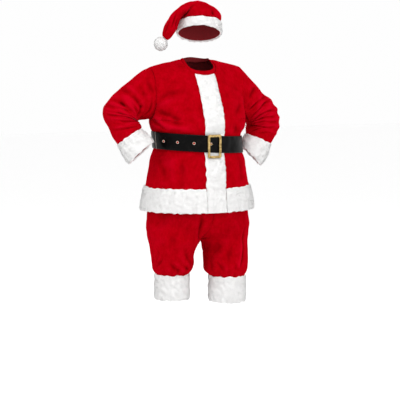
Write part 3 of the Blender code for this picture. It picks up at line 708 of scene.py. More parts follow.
def rim(fine: Array, coarse: Array) -> Array:
    """Triangles that join an edge of fine points to one with every second of them, as
    (a, A, b), (b, A, B) and (b, B, c) for fine points a, b, c beside coarse points A, B.

    Args:
        fine: The fine edge's point numbers.
        coarse: The coarse edge's.

    Returns:
        The triangles.
    """
    a, b, c = fine[:-2:2], fine[1:-1:2], fine[2::2]
    low, high = coarse[:-1], coarse[1:]
    return np.concatenate([
        np.stack([a, low, b], -1), np.stack([b, low, high], -1), np.stack([b, high, c], -1),
    ])


def rounded(s: Array) -> Array:
    """The share of its full thickness that a strip has at s from -1 to 1 across it."""
    return 0.35 + 0.65 * np.sqrt(np.clip(1 - s ** 4, 0, 1))


@dataclass
class Sheet:
    """A piece of cloth as a fine grid of points with its normals, open or closed round, and how
    far its creases move each point, which sets the shade painted into its troughs and the
    highlight painted onto its ridges."""

    points: Array
    normals: Array
    closed: bool = False
    relief: Optional[Array] = None

    def wrapped(self) -> tuple[Array, Array]:
        """Points and normals with the first column again at the end of a closed grid."""
        if not self.closed:
            return self.points, self.normals
        return looped(self.points), looped(self.normals)

    def area(self) -> float:
        """The area of the outer face."""
        return float(crossed(self.wrapped()[0]).sum() / 2)

    def turned_in(self, depth: float, edges: str) -> "Sheet":
        """The sheet with some edges sunk a little, as a seam pulls them.

        Args:
            depth: How far.
            edges: Which ones, as letters l, r and t for left, right and top.

        Returns:
            The new sheet.
        """
        p = self.points.copy()
        places = {"l": np.s_[:, 0], "r": np.s_[:, -1], "t": np.s_[-1]}
        for edge in edges:
            p[places[edge]] -= self.normals[places[edge]] * depth
        return Sheet(p, self.normals, self.closed, self.relief)

    def shell(
        self, name: str, thick: Union[float, Array], face: Material,
        back: Material, cut: int = 0, lip: int = 0,
    ) -> Thing:
        """The sheet as a closed wall: the fine outer face, an inner face at points - thick *
        normals with every second row and column, and rims between them.

        Args:
            name: The piece's name.
            thick: Its thickness, one for all or one a point.
            face: The outer finish.
            back: The inner finish.
            cut: Which of the two the first column's rim has.
            lip: How many columns of the outer face at the first one have it as well.

        Returns:
            The object.
        """
        rows, cols = self.points.shape[:2]
        inner = (self.points - self.normals * thick)[::2, ::2]
        at, under = numbered(rows, cols), rows * cols + numbered(*inner.shape[:2])
        if self.closed:
            at, under = looped(at), looped(under)
        rims = [rim(at[0], under[0]), rim(at[-1], under[-1])[:, ::-1]]
        if not self.closed:
            rims += [rim(at[:, 0], under[:, 0])[:, ::-1], rim(at[:, -1], under[:, -1])]
        points = np.concatenate([self.points.reshape(-1, 3), inner.reshape(-1, 3)])
        made = object_of(
            name, points,
            [quads(at[:, lip:]), quads(under)[:, ::-1], *rims, quads(at[:, :lip + 1])],
            (*(0, 1, 0, 0, cut, 0)[:2 + len(rims)], cut),
            (face, back),
        )
        # Painted shade and highlight: the creases' depth, as a point value, darkens the plush in
        # troughs and lightens it on ridges.
        if self.relief is not None:
            fold = np.zeros(len(points), np.float32)
            share = np.clip(self.relief.reshape(-1) / PAINTED_SHADE_DEPTH, -1, 1)
            fold[:rows * cols] = np.sign(share) * np.abs(share) ** 1.4
            made.data.attributes.new("fold", "FLOAT", "POINT").data.foreach_set("value", fold)
        return made


@dataclass(frozen=True)
class Pile:
    """Loose hairs of the fur, each one thin bent blade of two faces."""

    length: float = 0.0062
    width: float = 0.0013
    droop: float = 0.35
    each: float = 4.2e-6  # the area that has one hair
    spread: float = 0.33  # how much its way varies
    waver: float = 0.25  # how much more that of its tip does
    stray: float = 0.5  # how far whole tufts turn aside
    tuft: float = 0.035  # the distance between tufts
    lengths: tuple[float, float] = (0.55, 1.15)
    widths: tuple[float, float] = (0.7, 1.3)
    lean: float = 0.30  # how far its shading leans with it
    most: int = 60000
    root: float = 0.0012  # how deep in the ground it starts
    knee: float = 0.55  # the share of its length where it bends

    def grow(
        self, name: str, sheet: Sheet, finish: Material, seed: int,
        comb: Sequence[float] = DOWN,
    ) -> Thing:
        """Hairs over a sheet. A foot is (1-s)(1-t) A + s(1-t) B + st C + (1-s)t D on a random
        quad; the hair bends from the normal towards the way that it is combed.

        Args:
            name: The piece's name.
            sheet: The ground that they stand on.
            finish: Their finish.
            seed: Which scatter.
            comb: The way that they are combed.

        Returns:
            The object.
        """
        rng = np.random.default_rng(SEED + seed)
        p, n = sheet.wrapped()
        size = crossed(p).reshape(-1)
        count = int(min(sheet.area() / self.each, self.most))
        chosen = rng.choice(len(size), count, p=size / size.sum())
        i, j = np.divmod(chosen, p.shape[1] - 1)
        s, t = rng.random((2, count, 1))
        foot = (
            (1 - s) * (1 - t) * p[i, j] + s * (1 - t) * p[i, j + 1]
            + s * t * p[i + 1, j + 1] + (1 - s) * t * p[i + 1, j]
        )
        out = unit((1 - t) * n[i, j] + t * n[i + 1, j])
        stray = self.stray * lumps(foot, self.tuft, seed + 5)[:, None]
        way = np.asarray(comb) + stray * unit(np.cross(out, comb))
        lean = unit(out + self.droop * way + self.spread * rng.normal(size=(count, 3)))
        long = self.length * rng.uniform(*self.lengths, (count, 1))
        across = unit(np.cross(lean, rng.normal(size=(count, 3)))) * self.width
        across = across * rng.uniform(*self.widths, (count, 1))
        inward = (np.cross(across, lean) * out).sum(-1, keepdims=True) < 0
        across = across * np.where(inward, -1, 1)
        bend = unit(lean + self.knee * self.droop * way + self.waver * rng.normal(size=(count, 3)))
        foot = foot - out * self.root
        knee = foot + lean * long * self.knee
        tip = knee + bend * long * (1 - self.knee)
        points = np.stack([foot - across / 2, foot + across / 2, knee + across / 3,
                           knee - across / 3, tip], axis=1)
        at = numbered(count, 5)
        faces = (at[:, [0, 1, 2, 3]], at[:, [3, 2, 4]])
        obj = object_of(name, points, faces, (0, 0), (finish,))
        layer = obj.data.uv_layers.new(name="UVMap")
        height = np.array((0.0, 0.0, self.knee, self.knee, 1.0))
        corner = np.empty(len(obj.data.loops), np.int32)
        obj.data.loops.foreach_get("vertex_index", corner)
        uv = np.stack([(corner // 5 % 97) / 97, height[corner % 5]], axis=-1)
        layer.data.foreach_set("uv", uv.astype(np.float32).reshape(-1))
        soft = unit(out + self.lean * lean)
        obj.data.normals_split_custom_set_from_vertices(np.repeat(soft, 5, axis=0))
        return obj


@dataclass
class Finishes:
    """All the suit's finishes, made once."""

    plush: Material = field(default_factory=lambda: Plush().make("red_plush"))
    backing: Material = field(default_factory=lambda: Backing().make("plush_back"))
    ground: Material = field(default_factory=lambda: FurGround().make("fur_ground"))
    hair: Material = field(default_factory=lambda: FurHair().make("fur_hair"))
    vinyl: Material = field(default_factory=lambda: Vinyl().make("black_vinyl"))
    edge: Material = field(
        default_factory=lambda: Matt((0.42, 0.36, 0.33), 0.8).make("belt_cut_edge"))
    brass: Material = field(default_factory=lambda: Brass().make("buckle_brass"))
    eyelet: Material = field(
        default_factory=lambda: Brass((0.86, 0.74, 0.62), (0.60, 0.46, 0.34)).make("eyelet_brass"))
    floor: Material = field(
        default_factory=lambda: Matt((0.99, 0.99, 0.99), 0.7, 0.002).make("floor_paint"))


def dress(pieces: Sequence[Thing], node: str) -> None:
    """Puts pieces on the frame.

    Args:
        pieces: The pieces.
        node: The CAD node that they stand for.
    """
    for piece in pieces:
        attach(piece, "root")
        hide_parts(node)
        LOG.info("%s stands for %s", piece.name, node)


@dataclass(frozen=True)
class Cut:
    """The rectangle that a piece was cut from, and how much cut there is to its surface."""

    width: float
    length: float
    spare: float = 1.0

    def area(self, sheet: Sheet, corners: float = 0.0) -> float:
        """The cut's area, which is within the rectangle less what its corners lose."""
        return min(sheet.area() * self.spare, self.width * self.length - corners)


@dataclass(frozen=True)
class Form:
    """A strip of fur: its greatest thickness, the unevenness of that, and how far its last and
    its first edge wander."""

    thick: float
    lumpy: Lumps
    last: Lumps
    first: Lumps


@dataclass
class Workroom:
    """Makes pieces of cloth and fur from sheets, with the suit's finishes."""

    finishes: Finishes

    def state(
        self, pieces: Sequence[Thing], node: str, slot: str, cut: Cut, area: float, held: Held,
        rests: str,
    ) -> None:
        """Puts a sheet on the frame.

        Args:
            pieces: The sheet, then what goes with it.
            node: The CAD node that it stands for.
            slot: A material slot; not used.
            cut: Its rectangle; not used.
            area: The cut's area; not used.
            held: How it is held; not used.
            rests: What it lies on or hangs from; not used.
        """
        dress(pieces, node)

    def plush(self, node: str, sheet: Sheet, cut: Cut, held: Held, rests: str) -> None:
        """A piece of plush.

        Args:
            node: The CAD node that it stands for.
            sheet: Its surface.
            cut: Its rectangle.
            held: How it is held.
            rests: What it lies on or hangs from.
        """
        f = self.finishes
        piece = sheet.shell(node + "_cloth", CLOTH, f.plush, f.backing)
        self.state([piece], node, "red_plush", cut, cut.area(sheet), held, rests)

    def fur(
        self, node: str, cover: Sheet, body: Array, cut: Cut, rests: str,
        parts: Sequence[tuple[str, slice, int]], comb: Sequence[float] = DOWN,
        corners: float = 0.0001,
    ) -> None:
        """A piece of fur: its ground and its loose hairs.

        Args:
            node: The CAD node that it stands for.
            cover: Its outer surface.
            body: Its thickness at each point.
            cut: Its rectangle.
            rests: What it is sewn to.
            parts: The name's ending, the rows and the scatter of each lot of hairs.
            comb: The way that they are combed.
            corners: What the cut's corners lose.
        """
        f = self.finishes
        made = [cover.shell(node + "_fur", body[..., None], f.ground, f.ground)]
        for ending, rows, seed in parts:
            part = Sheet(cover.points[rows], cover.normals[rows], cover.closed)
            made.append(Pile().grow(node + ending, part, f.hair, seed, comb))
        self.state(made, node, "white_fur", cut, cut.area(cover, corners), Held.HUNG, rests)

    def strip(
        self, node: str, base: Array, n: Array, form: Form, cut: Cut, rests: str, seed: int,
        closed: bool = True, way: Sequence[float] = UP, comb: Sequence[float] = DOWN,
    ) -> None:
        """A strip of fur whose edges wander by last t^3 and first (1 - t)^3 along way and whose
        body is thick * rounded(2 t - 1) * (1 + lumpy).

        Args:
            node: The CAD node that it stands for.
            base: Its points on the cloth.
            n: The cloth's normals.
            form: Its form.
            cut: Its rectangle.
            rests: What it is sewn to.
            seed: The scatter of its hairs.
            closed: Whether it goes all round.
            way: The way that its edges wander.
            comb: The way that its hairs are combed.
        """
        t = np.linspace(0, 1, len(base))[:, None]
        last, first = form.last.at(base[-1:]), form.first.at(base[:1])
        for wander in (last * t ** 3, first * (1 - t) ** 3):
            base = base + np.asarray(way) * wander[..., None]
        body = form.thick * rounded(2 * t - 1) * (1 + form.lumpy.at(base))
        cover = Sheet(base + n * (LIE + body)[..., None], n, closed)
        self.fur(node, cover, body, cut, rests, (("_pile", np.s_[:], seed),), comb)


# ---------------------------------------------------------------------- jacket


@dataclass
class Panel:
    """A folded panel: its points, its normals and how far its folds moved it."""

    points: Array
    normals: Array
    relief: Array

    def sheet(self, columns: slice = np.s_[:]) -> Sheet:
        """Some columns of the panel, from its third row on."""
        return Sheet(self.points[2:, columns], self.normals[2:, columns], False,
                     self.relief[2:, columns])

    def both(self) -> Array:
        """Points and normals side by side."""
        return np.concatenate([self.points, self.normals], axis=-1)


@dataclass
class Jacket:
    """The jacket's body, sleeves, neck band and the fur on its edges."""

    room: Workroom
    half_girth: float = 0.30
    underarm: float = 1.285
    side_angle: float = 98.0
    # height, half width, front, back
    rings: Table = (
        (827, 294, 244, 234), (885, 283, 236, 228), (943, 271, 230, 222), (990, 262, 227, 218),
        (1040, 252, 222, 213), (1090, 243, 214, 207), (1126, 227, 211, 201), (1168, 224, 209, 199),
        (1210, 227, 211, 201), (1235, 241, 215, 203), (1260, 247, 215, 197), (1285, 250, 211, 190),
    )
    # height, front, back
    chest: Table = (
        (1285, 211, 190), (1340, 191, 186), (1393, 166, 177), (1445, 139, 162), (1500, 102, 138),
        (1545, 68, 112), (1575, 24, 74), (1590, -22, 22),
    )
    shoulder_tip: Point = (0.250, 0.030, 1.543)
    shoulder_arch: float = 0.006
    neck_ridge: Point = (0.0, 0.022, 1.590)
    neck_drop: tuple[float, float] = (1.500, 1.568)  # of the front, of the back
    neck_share: float = 4 / 12
    neck_tall: float = 0.027
    neck_less: float = 0.013  # how much lower it is at the sides
    neck_sunk: float = 0.0030
    neck_inward: float = 0.0028
    neck_lean: float = 0.10
    neck_soft: float = 0.030  # how far along it the top edge's height is softened
    armhole_reach: tuple[float, float] = (0.078, 0.080)
    armhole_inset: float = 0.008
    crown: float = 0.30  # how much higher the middle rises than the armholes
    band_half: float = 0.0535
    band_wander: float = 0.001
    band_edges: tuple[Lumps, Lumps] = (Lumps(0.0016, 0.028, 11), Lumps(0.0016, 0.031, 12))
    band_lumpy: Lumps = Lumps(0.16, 0.030, 13)
    band_thick: tuple[float, float] = (0.0068, 0.0022)  # free, and under the belt
    press: tuple[float, ...] = (1.085, 0.02, 1.236, 0.03)
    belt: tuple[float, float] = (1.124, 1.208)
    belt_slope: float = 0.014
    belt_reach: float = 0.226
    gather: Gather = Gather(0.0016, 0.0105, 1.4, 0.043)
    above: tuple[float, ...] = (0.0, 0.012, 0.014, 0.030)  # where the belt gathers the plush
    below: tuple[float, ...] = (0.0, 0.012, 0.012, 0.035)
    seam: float = 0.0012
    seam_width: float = 0.010
    wear: Lumps = Lumps(0.0011, 0.085, 3)
    half_columns: int = 72
    low_rows: int = 108
    high_rows: int = 84
    hem_rows: int = 29
    front_cut: Cut = Cut(0.39, 0.78, 1.02)
    back_cut: Cut = Cut(0.72, 0.80, 1.02)
    band_cut: Cut = Cut(0.11, 0.70, 1.05)
    hem_cut: Cut = Cut(1.62, 0.125, 1.05)
    hem_form: Form = Form(
        0.0072, Lumps(0.20, 0.036, 17), Lumps(0.0022, 0.030, 15), Lumps(0.0022, 0.032, 16))
    neck_cut: Cut = Cut(0.50, 0.032, 1.02)
    # from u, from v, to u, to v, width, depth, bow, shoulders, in creases of every piece;
    # here u is the distance from the middle, left being more, and v the height.
    front_folds: Table = (
        (-290, 1275, -90, 1228, 18, 7), (-285, 1315, -180, 1285, 16, 6),
        (285, 1285, 130, 1235, 17, 6), (-250, 1045, -130, 1092, 20, 4),
        (150, 1020, 270, 1085, 20, 4), (-290, 1285, -190, 1230, 9.5, -11.4, 11, 500),
        (-290, 1235, -235, 1225, 7, -4.8, 0, 300), (-275, 1315, -140, 1290, 18, -6.6, 12, 400),
        (-200, 1284, -110, 1265, 8.5, -6.6, -5, 500), (-145, 1290, -75, 1280, 12, -4.2, 1, 400),
        (-255, 1354, -135, 1394, 15, 4.2, -3, 300), (-245, 1390, -130, 1421, 15, -3, 7, 300),
        (-220, 1484, -135, 1466, 13, -2.4, -3, 300), (95, 1260, 150, 1200, 10, -6, -6, 400),
        (80, 1250, 105, 1205, 11, -4.2, 4, 400), (170, 1352, 100, 1304, 14, -4.8, -6, 400),
        (145, 1433, 215, 1427, 13, -2.4, -2, 300), (-235, 1095, -190, 1000, 15, -5.4, 6, 300),
        (-120, 1098, -105, 980, 17, -3.6, -5, 300), (110, 1098, 125, 990, 15, -3.6, 6, 300),
        (205, 1095, 200, 960, 17, -5.4, -6, 300), (255, 1090, 262, 1010, 13, -4.2, 4, 300),
        (240, 1300, 160, 1235, 9.5, -7.2, 4, 300),
    )
    back_folds: Table = (
        (-275, 1270, -80, 1240, 20, 7), (280, 1275, 60, 1235, 19, 7),
        (-210, 1040, -60, 1088, 22, 4), (90, 1030, 220, 1085, 22, 4),
        (-262, 1330, -150, 1262, 9.5, -7, 6, 300), (-235, 1290, -60, 1262, 11, -4.5, 8, 300),
        (268, 1325, 165, 1250, 9.5, -7, -6, 300), (215, 1300, 30, 1275, 12, -4, -8, 300),
        (-100, 1400, 80, 1392, 18, -4, 10, 300), (-30, 1235, 10, 1290, 12, -4.5, 4, 300),
        (110, 1234, 85, 1275, 11, -4, 4, 300), (-190, 1096, -160, 990, 15, -4.5, 6, 300),
        (-60, 1098, -70, 975, 18, -5, -6, 300), (70, 1098, 90, 1000, 15, -4.5, 5, 300),
        (180, 1096, 165, 970, 17, -4.5, 6, 300),
    )

    def ring(self, u: Array, height: Union[float, Array], back: bool) -> tuple[Array, Array]:
        """A ring at a height: (w sin a, -d cos a), a running between the side seams.

        Args:
            u: The share across of each column.
            height: The height.
            back: Whether it is the back.

        Returns:
            Its x and its y.
        """
        half, front, behind = table(self.rings, height)
        angle = np.radians((180.0 - self.side_angle if back else self.side_angle) * u)
        if back:
            return half * np.sin(angle), behind * np.cos(angle)
        cosine = np.cos(angle)
        return half * np.sin(angle), np.where(cosine > 0, -front * cosine, -behind * cosine)

    def shoulders(self, u: Array) -> Array:
        """The line from shoulder tip to tip over the neck: ridge + |u| (tip - ridge), arched.

        Args:
            u: The share across of each column.

        Returns:
            The line's points.
        """
        across = np.abs(u)[..., None]
        ridge, tip = np.array(self.neck_ridge), np.array(self.shoulder_tip)
        line = ridge + across * (tip - ridge)
        line = line + self.shoulder_arch * np.sin(np.pi * across) * np.array(UP)
        line[..., 0] *= np.sign(u)
        return line

    def panel(self, back: bool) -> tuple[Array, Array]:
        """The whole front or back from the hem to the shoulders. Rings up to the underarm, then
        p(u, w) = (1-w) ring + w shoulder line + a bulge to the middle's profile and to the
        armhole's edge, with w cut short along the neckline.

        Args:
            back: Whether it is the back.

        Returns:
            Rows of points, and the share across of each column.
        """
        u = np.linspace(-1, 1, 2 * self.half_columns + 1)
        bottom = self.rings[0][0] / 1000
        heights = np.linspace(bottom, self.underarm, self.low_rows + 1)[:, None]
        x, y = self.ring(u[None], heights, back)
        rings = np.stack([x, y, np.broadcast_to(heights, x.shape)], axis=-1)
        top, outward = self.shoulders(u)[None], np.abs(u)[None]
        rise = self.neck_ridge[2] - self.underarm
        fine = np.linspace(0, 1, 401)
        share = (self.neck_drop[int(back)] - self.underarm) / rise
        cut = np.interp(share, fine + self.crown * fine * (1 - fine), fine)
        scoop = np.sqrt(np.clip(1 - (outward / self.neck_share) ** 2, 0, 1))
        w = (1 - np.cos(np.pi * np.arange(1, self.high_rows + 1) / self.high_rows))[:, None] / 2
        w = w * (1 - (1 - cut) * scoop)
        x0, y0 = self.ring(u, self.underarm, back)
        blend, edge = w ** 2.4, outward ** 3
        x = (1 - w) * x0 + w * top[..., 0]
        x = x - np.sign(u) * self.armhole_inset * np.sin(np.pi * w) * outward ** 6
        bulge = w + self.crown * w * (1 - w) * (1 - outward ** 2)
        z = self.underarm + bulge * (top[..., 2] - self.underarm)
        straight = (1 - blend) * y0 + blend * top[..., 1]
        middle = self.underarm + (w + self.crown * w * (1 - w)) * rise
        plain = (1 - blend) * y0[self.half_columns] + blend * self.neck_ridge[1]
        profile = table(self.chest, middle)[int(back)] * (1 if back else -1) - plain
        reach = self.armhole_reach[1] if back else -self.armhole_reach[0]
        to_edge = reach * 2 * np.sqrt(np.clip(w * (1 - w), 0, 1))
        to_edge = to_edge + (blend - w) * (y0[-1] - top[:, -1:, 1])
        y = straight + profile * (1 - edge) + to_edge * edge
        return np.concatenate([rings, np.stack([x, y, z], axis=-1)]), u

    def folded(self, grid: Array, u: Array, back: bool) -> Panel:
        """The panel with its folds, which die out at the seams and under the belt, a groove
        along the armholes and the wear's soft unevenness.

        Args:
            grid: Its smooth points.
            u: The share across of each column.
            back: Whether it is the back.

        Returns:
            The folded panel.
        """
        normal = grid_normals(grid)
        across = np.broadcast_to(u, grid.shape[:2])
        z = grid[..., 2]
        metres = across * self.half_girth
        lift = creased(self.back_folds if back else self.front_folds, metres, z)
        lift = lift * (1 - np.abs(across) ** 8)
        lift = lift + self.wear.at(grid) * (1 - np.abs(across) ** 4)
        low, high = self.belt
        level = z + self.belt_slope * np.clip(grid[..., 0] / self.belt_reach, -1, 1)
        free = ease((level - high - 0.004) / 0.025) + ease((low - level) / 0.030)
        pulled = between(level - high, *self.above) + between(low - level, *self.below)
        lift = lift * free + self.gather.at(metres) * pulled * (1 - np.abs(across) ** 8)
        seam = (1 - np.abs(across)) * self.half_girth
        lift = lift - self.seam * bell(seam, self.seam_width) * ease((z - self.underarm) / 0.03)
        points = grid + normal * lift[..., None]
        return Panel(points, grid_normals(points), lift)

    def body(self) -> tuple[Panel, Panel]:
        """The front and the back, with normals alike along the seams that they share.

        Returns:
            The two panels.
        """
        grid, u = self.panel(False)
        front = self.folded(grid, u, False)
        back = self.folded(self.panel(True)[0][:, ::-1], -u, True)
        nf, nb = front.normals, back.normals
        for a, b in ((0, -1), (-1, 0)):
            nf[:, a] = nb[:, b] = unit(nf[:, a] + nb[:, b])
        shoulder = np.abs(u) >= self.neck_share - 1e-9
        shared = unit(nf[-1] + nb[-1, ::-1])
        nf[-1, shoulder] = shared[shoulder]
        nb[-1, ::-1][shoulder] = shared[shoulder]
        return front, back

    def armhole(self, front: Panel, back: Panel, side: Side) -> Array:
        """The armhole's points from its top down the front and up the back.

        Args:
            front: The front.
            back: The back.
            side: The armhole's side.

        Returns:
            The points.
        """
        f, b = (-1, 0) if side is Side.LEFT else (0, -1)
        low = self.low_rows
        return np.concatenate([front.points[low:, f][::-1], back.points[low:, b][1:-1]])

    def build(self, sleeves: Sequence["Sleeve"]) -> None:
        """Makes and dresses every piece of the jacket.

        Args:
            sleeves: The two sleeves.
        """
        front, back = self.body()
        for sleeve in sleeves:
            sleeve.build(self.armhole(front, back, sleeve.side), self.high_rows)
        mid = self.half_columns
        for node, sheet, edges, cut in (
            ("jacket_front_right", front.sheet(np.s_[:mid + 1]), "lt", self.front_cut),
            ("jacket_front_left", front.sheet(np.s_[mid:]), "rt", self.front_cut),
            ("jacket_back", back.sheet(), "lrt", self.back_cut),
        ):
            sunk = sheet.turned_in(self.seam, edges)
            self.room.plush(node, sunk, cut, Held.HUNG, "the wearer's shoulders")
        self.front_band(front.both())
        self.hem_band(front.both(), back.both())
        self.neck_band(front.points[-1], back.points[-1])

    def front_band(self, both: Array) -> None:
        """The fur strip down the front: points at x = s (h + wobble), moved out by
        t * rounded(s), thinner where the belt presses on it.

        Args:
            both: The front's points and normals.
        """
        s = np.linspace(-1, 1, 25)
        height = both[:, self.half_columns, 2]
        edge = np.stack([height * 0, height * 0, height], axis=-1)
        left, right = (
            self.band_half - self.band_wander + wander.at(edge)
            for wander in self.band_edges)
        x = np.where(s > 0, s * left[:, None], s * right[:, None])
        lie = read_rows(both, x)
        base, n = lie[..., :3], unit(lie[..., 3:])
        pressed = between(height, *self.press)
        full, flat = self.band_thick
        thick = full * (1 - pressed) + flat * pressed
        body = thick[:, None] * rounded(s)[None] * (1 + self.band_lumpy.at(base))
        open_rows = np.flatnonzero(
            (height <= self.belt[0] - 0.005) | (height >= self.belt[1] + 0.006))
        low = open_rows[np.flatnonzero(np.diff(open_rows) > 1)][0]
        high = open_rows[open_rows > low][0]
        parts = (("_pile_1", np.s_[:low + 1], 21), ("_pile_2", np.s_[high:], 61))
        cover = Sheet(base + n * (2 * LIE + body)[..., None], n)
        self.room.fur("front_band", cover, body, self.band_cut, "the jacket's edge", parts,
                      corners=0.0)

    def hem_band(self, both: Array, behind: Array) -> None:
        """The fur strip round the hem, from one side of the front band to the other.

        Args:
            both: The front's points and normals.
            behind: The back's.
        """
        both, behind = both[:self.hem_rows], behind[:self.hem_rows, 1:-1]
        edge = self.band_half + LIE
        x = both[0, :, 0]
        left = np.full((self.hem_rows, 1), edge)
        strip = np.concatenate([
            read_rows(both, left), both[:, x > edge + 0.004], behind,
            both[:, x < -edge - 0.004], read_rows(both, -left),
        ], axis=1)
        if strip.shape[1] % 2 == 0:
            strip = np.delete(strip, strip.shape[1] // 2, axis=1)
        self.room.strip(
            "hem_band", strip[..., :3], unit(strip[..., 3:]), self.hem_form, self.hem_cut,
            "the jacket's edge", 22, False)

    def neck_band(self, front: Array, back: Array) -> None:
        """The plain stand round the neckline: the neckline's points raised and drawn in, less
        at the sides, with its top edge's height softened along it.

        Args:
            front: The front's last row of points.
            back: The back's.
        """
        keep = np.abs(np.linspace(-1, 1, len(front))) <= self.neck_share + 1e-9
        fore, aft = front[keep], back[keep]
        k = len(fore) // 2
        ends = [fore[k] * 0.95 + fore[k + i] * 0.05 for i in (1, -1)]
        line = np.concatenate([ends[:1], fore[k + 1:], aft[1:-1], fore[:k], ends[1:]])
        middle = np.array((0.0, line[:, 1].mean(), 0.0))
        flat = (line - middle) * (1, 1, 0)
        level = np.linspace(0, 1, 9)[:, None, None]
        side = (np.abs(line[:, :1]) / np.abs(line[:, 0]).max()) ** 2
        tall = self.neck_tall - self.neck_less * side
        ring = line - unit(flat) * self.neck_inward - flat * self.neck_lean * level
        ring = ring + np.array(UP) * (tall * level - self.neck_sunk)
        along = np.r_[0, np.cumsum(np.linalg.norm(np.diff(line, axis=0), axis=1))]
        near = bell(along[:, None] - along, self.neck_soft)
        soft = near @ line[:, 2] / near.sum(axis=1)
        ring[..., 2] += level[..., 0] * (soft - line[:, 2])
        ring = ring + unit(flat) * self.seam * np.sin(np.pi * level)
        sheet = Sheet(ring, np.broadcast_to(unit(flat), ring.shape).copy())
        self.room.plush("neck_band", sheet, self.neck_cut, Held.HUNG, "the jacket's neckline")


@dataclass
class Sleeve:
    """One sleeve with its fur cuff, bent at the elbow with the hand at the hip."""

    room: Workroom
    side: Side
    rows: Table
    folds: Table
    creases: Table
    facing: Point = (-0.42, -0.90, 0.10)
    reach: float = 0.078
    per_row: int = 12
    cuff_row: int = 126
    waist: float = 0.738  # the share of the length where the fur draws it in
    clear: tuple[float, float] = (0.0016, 0.0008)  # of its first rings off the armhole
    seam: float = 0.0012
    gather: Gather = Gather(0.0010, 1 / 19, 2.0, 1 / 3)
    fold_span: tuple[float, ...] = (0.0, 0.12, 0.66, 0.08)
    crease_span: tuple[float, ...] = (0.0, 0.04, 0.715, 0.035)
    cut: Cut = Cut(0.62, 0.66, 1.03)
    cuff_cut: Cut = Cut(0.52, 0.125, 1.05)
    cuff_form: Form = Form(
        0.0078, Lumps(0.20, 0.036, 35), Lumps(0.0022, 0.030, 33), Lumps(0.0024, 0.030, 34))

    def rings(self, loop: Array, half: int) -> tuple[Array, Array]:
        """Rings from the armhole to the end: c + r cos a + f d sin a, with the first ones bent
        to the armhole's own loop.

        Args:
            loop: The armhole's points.
            half: How many of them are on its front.

        Returns:
            The rings, and each one's share of the length.
        """
        sign, last = self.side.value, len(self.rows)
        first = (abs(loop[half, 0]), *loop[half, 1:], abs(loop[0, 0]), *loop[0, 1:], self.reach)
        at = np.linspace(0, last, last * self.per_row + 1)
        data = np.vstack([first, np.array(self.rows) / 1000])
        ix, iy, iz, ox, oy, oz, depth = spaced(data, at)
        inner = np.stack([sign * ix, iy, iz], axis=-1)
        outer = np.stack([sign * ox, oy, oz], axis=-1)
        centre, arm = (inner + outer) / 2, (outer - inner) / 2
        turn = ease(at / 5)[:, None]
        facing = (1 - turn) * np.array((0.0, -1.0, 0.0)) + turn * unit(np.array(self.facing))
        along = unit(arm)
        facing = unit(facing - (facing * along).sum(-1, keepdims=True) * along)
        rings = tube(centre, arm, facing * depth[:, None], circle(len(loop)))
        fade = (1 - ease(at / 3.5))[:, None, None]
        return rings + (loop - rings[0])[None] * fade, at / last

    def build(self, loop: Array, half: int) -> None:
        """Makes and dresses the sleeve and its cuff.

        Args:
            loop: The armhole's points.
            half: How many of them are on its front.
        """
        side = self.side
        label = side.name.lower()
        rings, v = self.rings(loop, half)
        u = np.arange(len(loop)) / len(loop)
        if side is Side.RIGHT:
            rings = np.roll(rings[:, ::-1], 1, axis=1)
            u = (1 - u) % 1
        normal = grid_normals(rings, True)
        fade = between(v, *self.fold_span)[:, None]
        late = between(v, *self.crease_span)[:, None]
        lift = creased(self.folds, u[None], v[:, None], 1.0) * fade
        lift = lift + creased(self.creases, u[None], v[:, None], 1.0) * late
        lift = lift + Lumps(0.0012, 0.060, 30 + side.value).at(rings) * late
        lift = lift * (1 - 0.5 * bell(np.minimum(u, 1 - u), 0.07))
        lift = lift - self.seam * bell(v, 0.018)[:, None]
        lift = lift + bell(v - self.waist, 0.020)[:, None] * self.gather.at(2 * np.pi * u)
        rings = rings + normal * lift[..., None]
        for row, clear in enumerate(self.clear):
            rings[row, :, 0] += side.value * clear
        n = grid_normals(rings, True)
        sheet = Sheet(rings[:-2], n[:-2], True, lift[:-2])
        self.room.plush(f"sleeve_{label}", sheet, self.cut, Held.GATHERED, "the wearer's arm")
        way = unit(rings[-1] - rings[-3])
        self.room.strip(
            f"cuff_{label}", rings[self.cuff_row:], n[self.cuff_row:], self.cuff_form,
            self.cuff_cut, f"sleeve_{label}", 50 + side.value, True, way, way.mean(axis=0))


